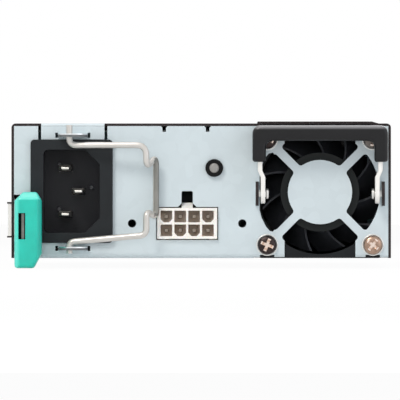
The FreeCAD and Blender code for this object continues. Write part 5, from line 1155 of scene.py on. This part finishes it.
# a black film seal; its black stands in for the shade over the board
shade_seal = folded_sheet([(behind + 4.5, film_top + 0.35), (behind + 0.6, film_top + 0.35),
                     (behind - 0.6, board_low + 0.7)], FILM_THICK, fan_lo.x - 0.5, fan_hi.x - 3.5)
show("board_seal", as_mesh(shade_seal, "board seal"), "case", film)
print("edge faces", edge_faces, "gap that the seal closes", round(board_low - film_top, 1), "mm")

# %% Finishes of the inner pieces
FINISHES = {
    # glossy black sleeving round the wires
    moulded("black lead insulation", "1B1B1C", "121213", 0.38): ["live_lead", "fan_lead"],
    # the earth wire's leaf green
    moulded("green lead insulation", "3F8E35", "2F7427", 0.4): ["earth_lead"],
    # a creamy white
    moulded("white lead insulation", "ECEAE4", "DAD7CE", 0.4): ["neutral_lead", "mains_fuse"],
    # nearly a mirror, with faint marks along it
    metal("ground shaft steel", "D3D4D6", "B9BABD", 0.2, 1.5, (1, 6, 1)): ["fan_shaft"],
    # dull gold, open grained
    metal("sintered bronze", "BE9966", "8F6E44", 0.5, 0.5, depth_mm=0.01): ["fan_bearing"],
    # matt charcoal
    moulded("bonded ferrite magnet", "2B2829", "1D1B1C", 0.6, 0.2): ["fan_magnet"],
    # thin grey layers, stacked from front to back
    metal("stacked core steel", "8C8D90", "5C5D60", 0.5, 0.6, (6, 0.4, 6), 0.02): ["fan_stator"],
    # off white with light under its surface
    moulded("natural nylon", "E8E5D8", "D6D2C2", 0.4, 0.4, 0.01, inner=0.1): ["board_supports"],
    film: ["insulating_film"],
    # a clean bright gold
    metal("gold flash", "E7C069", "CFA24A", 0.25, 2.0): ["edge_contacts"],
    board_green: ["control_board"],
    # dark grey stone with a rough skin
    moulded("sintered ferrite", "3C3C3F", "29292B", 0.55, 0.35, 0.03, 2.0):
        ["choke_core", "boost_core", "transformer_core", "output_choke_core"],
    # warm red-brown turns under varnish
    metal("enamelled copper wire", "C4763D", "8E4A20", 0.32, 0.9, (6, 6, 0.5), 0.05):
        ["choke_winding", "boost_winding", "output_choke_winding"],
    # laps of glossy yellow
    layered("yellow polyester tape", "E2C445", "C2A22C", 0.3, 3.2, "Z", 0.05, 0.3):
        ["transformer_winding"],
    # dull brown card
    moulded("phenolic base", "694A33", "4E3524", 0.5): ["choke_base_plate"],
    # painted shade: a yellow box painted mid grey for the dark it stands in
    moulded("capacitor case painted grey as shade", "6F7174", "5C5E61", 0.45, shine=0.2): ["x_capacitor"],
    # a strong satin blue
    moulded("blue relay case", "2B52A0", "1F3F80", 0.35): ["inrush_relay"],
    # pale grey with upright lines from the die
    metal("extruded aluminium", "CED0D2", "B0B3B6", 0.4, 2.0, (1, 1, 8), 0.01):
        ["bridge_heat_sink", "primary_heat_sink", "secondary_heat_sink"],
    # fine grained black
    moulded("moulded epoxy", "232325", "161618", 0.5, 0.2):
        ["bridge_rectifier", "power_transistors", "control_chips"],
    # shiny navy film drawn tight
    moulded("shrink sleeve", "26304A", "1A2136", 0.25, 1.5, 0.02, coat=0.3):
        ["bulk_capacitors", "output_capacitors"],
    tin: ["bus_bars"],
}
for finish, names in FINISHES.items():
    for name in names:
        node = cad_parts[name]
        node.data.materials.clear()
        node.data.materials.append(finish)
left_over = [n for n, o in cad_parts.items() if not o.hide_render
             and n not in sum(FINISHES.values(), [])]
print("nodes without a finish", left_over)
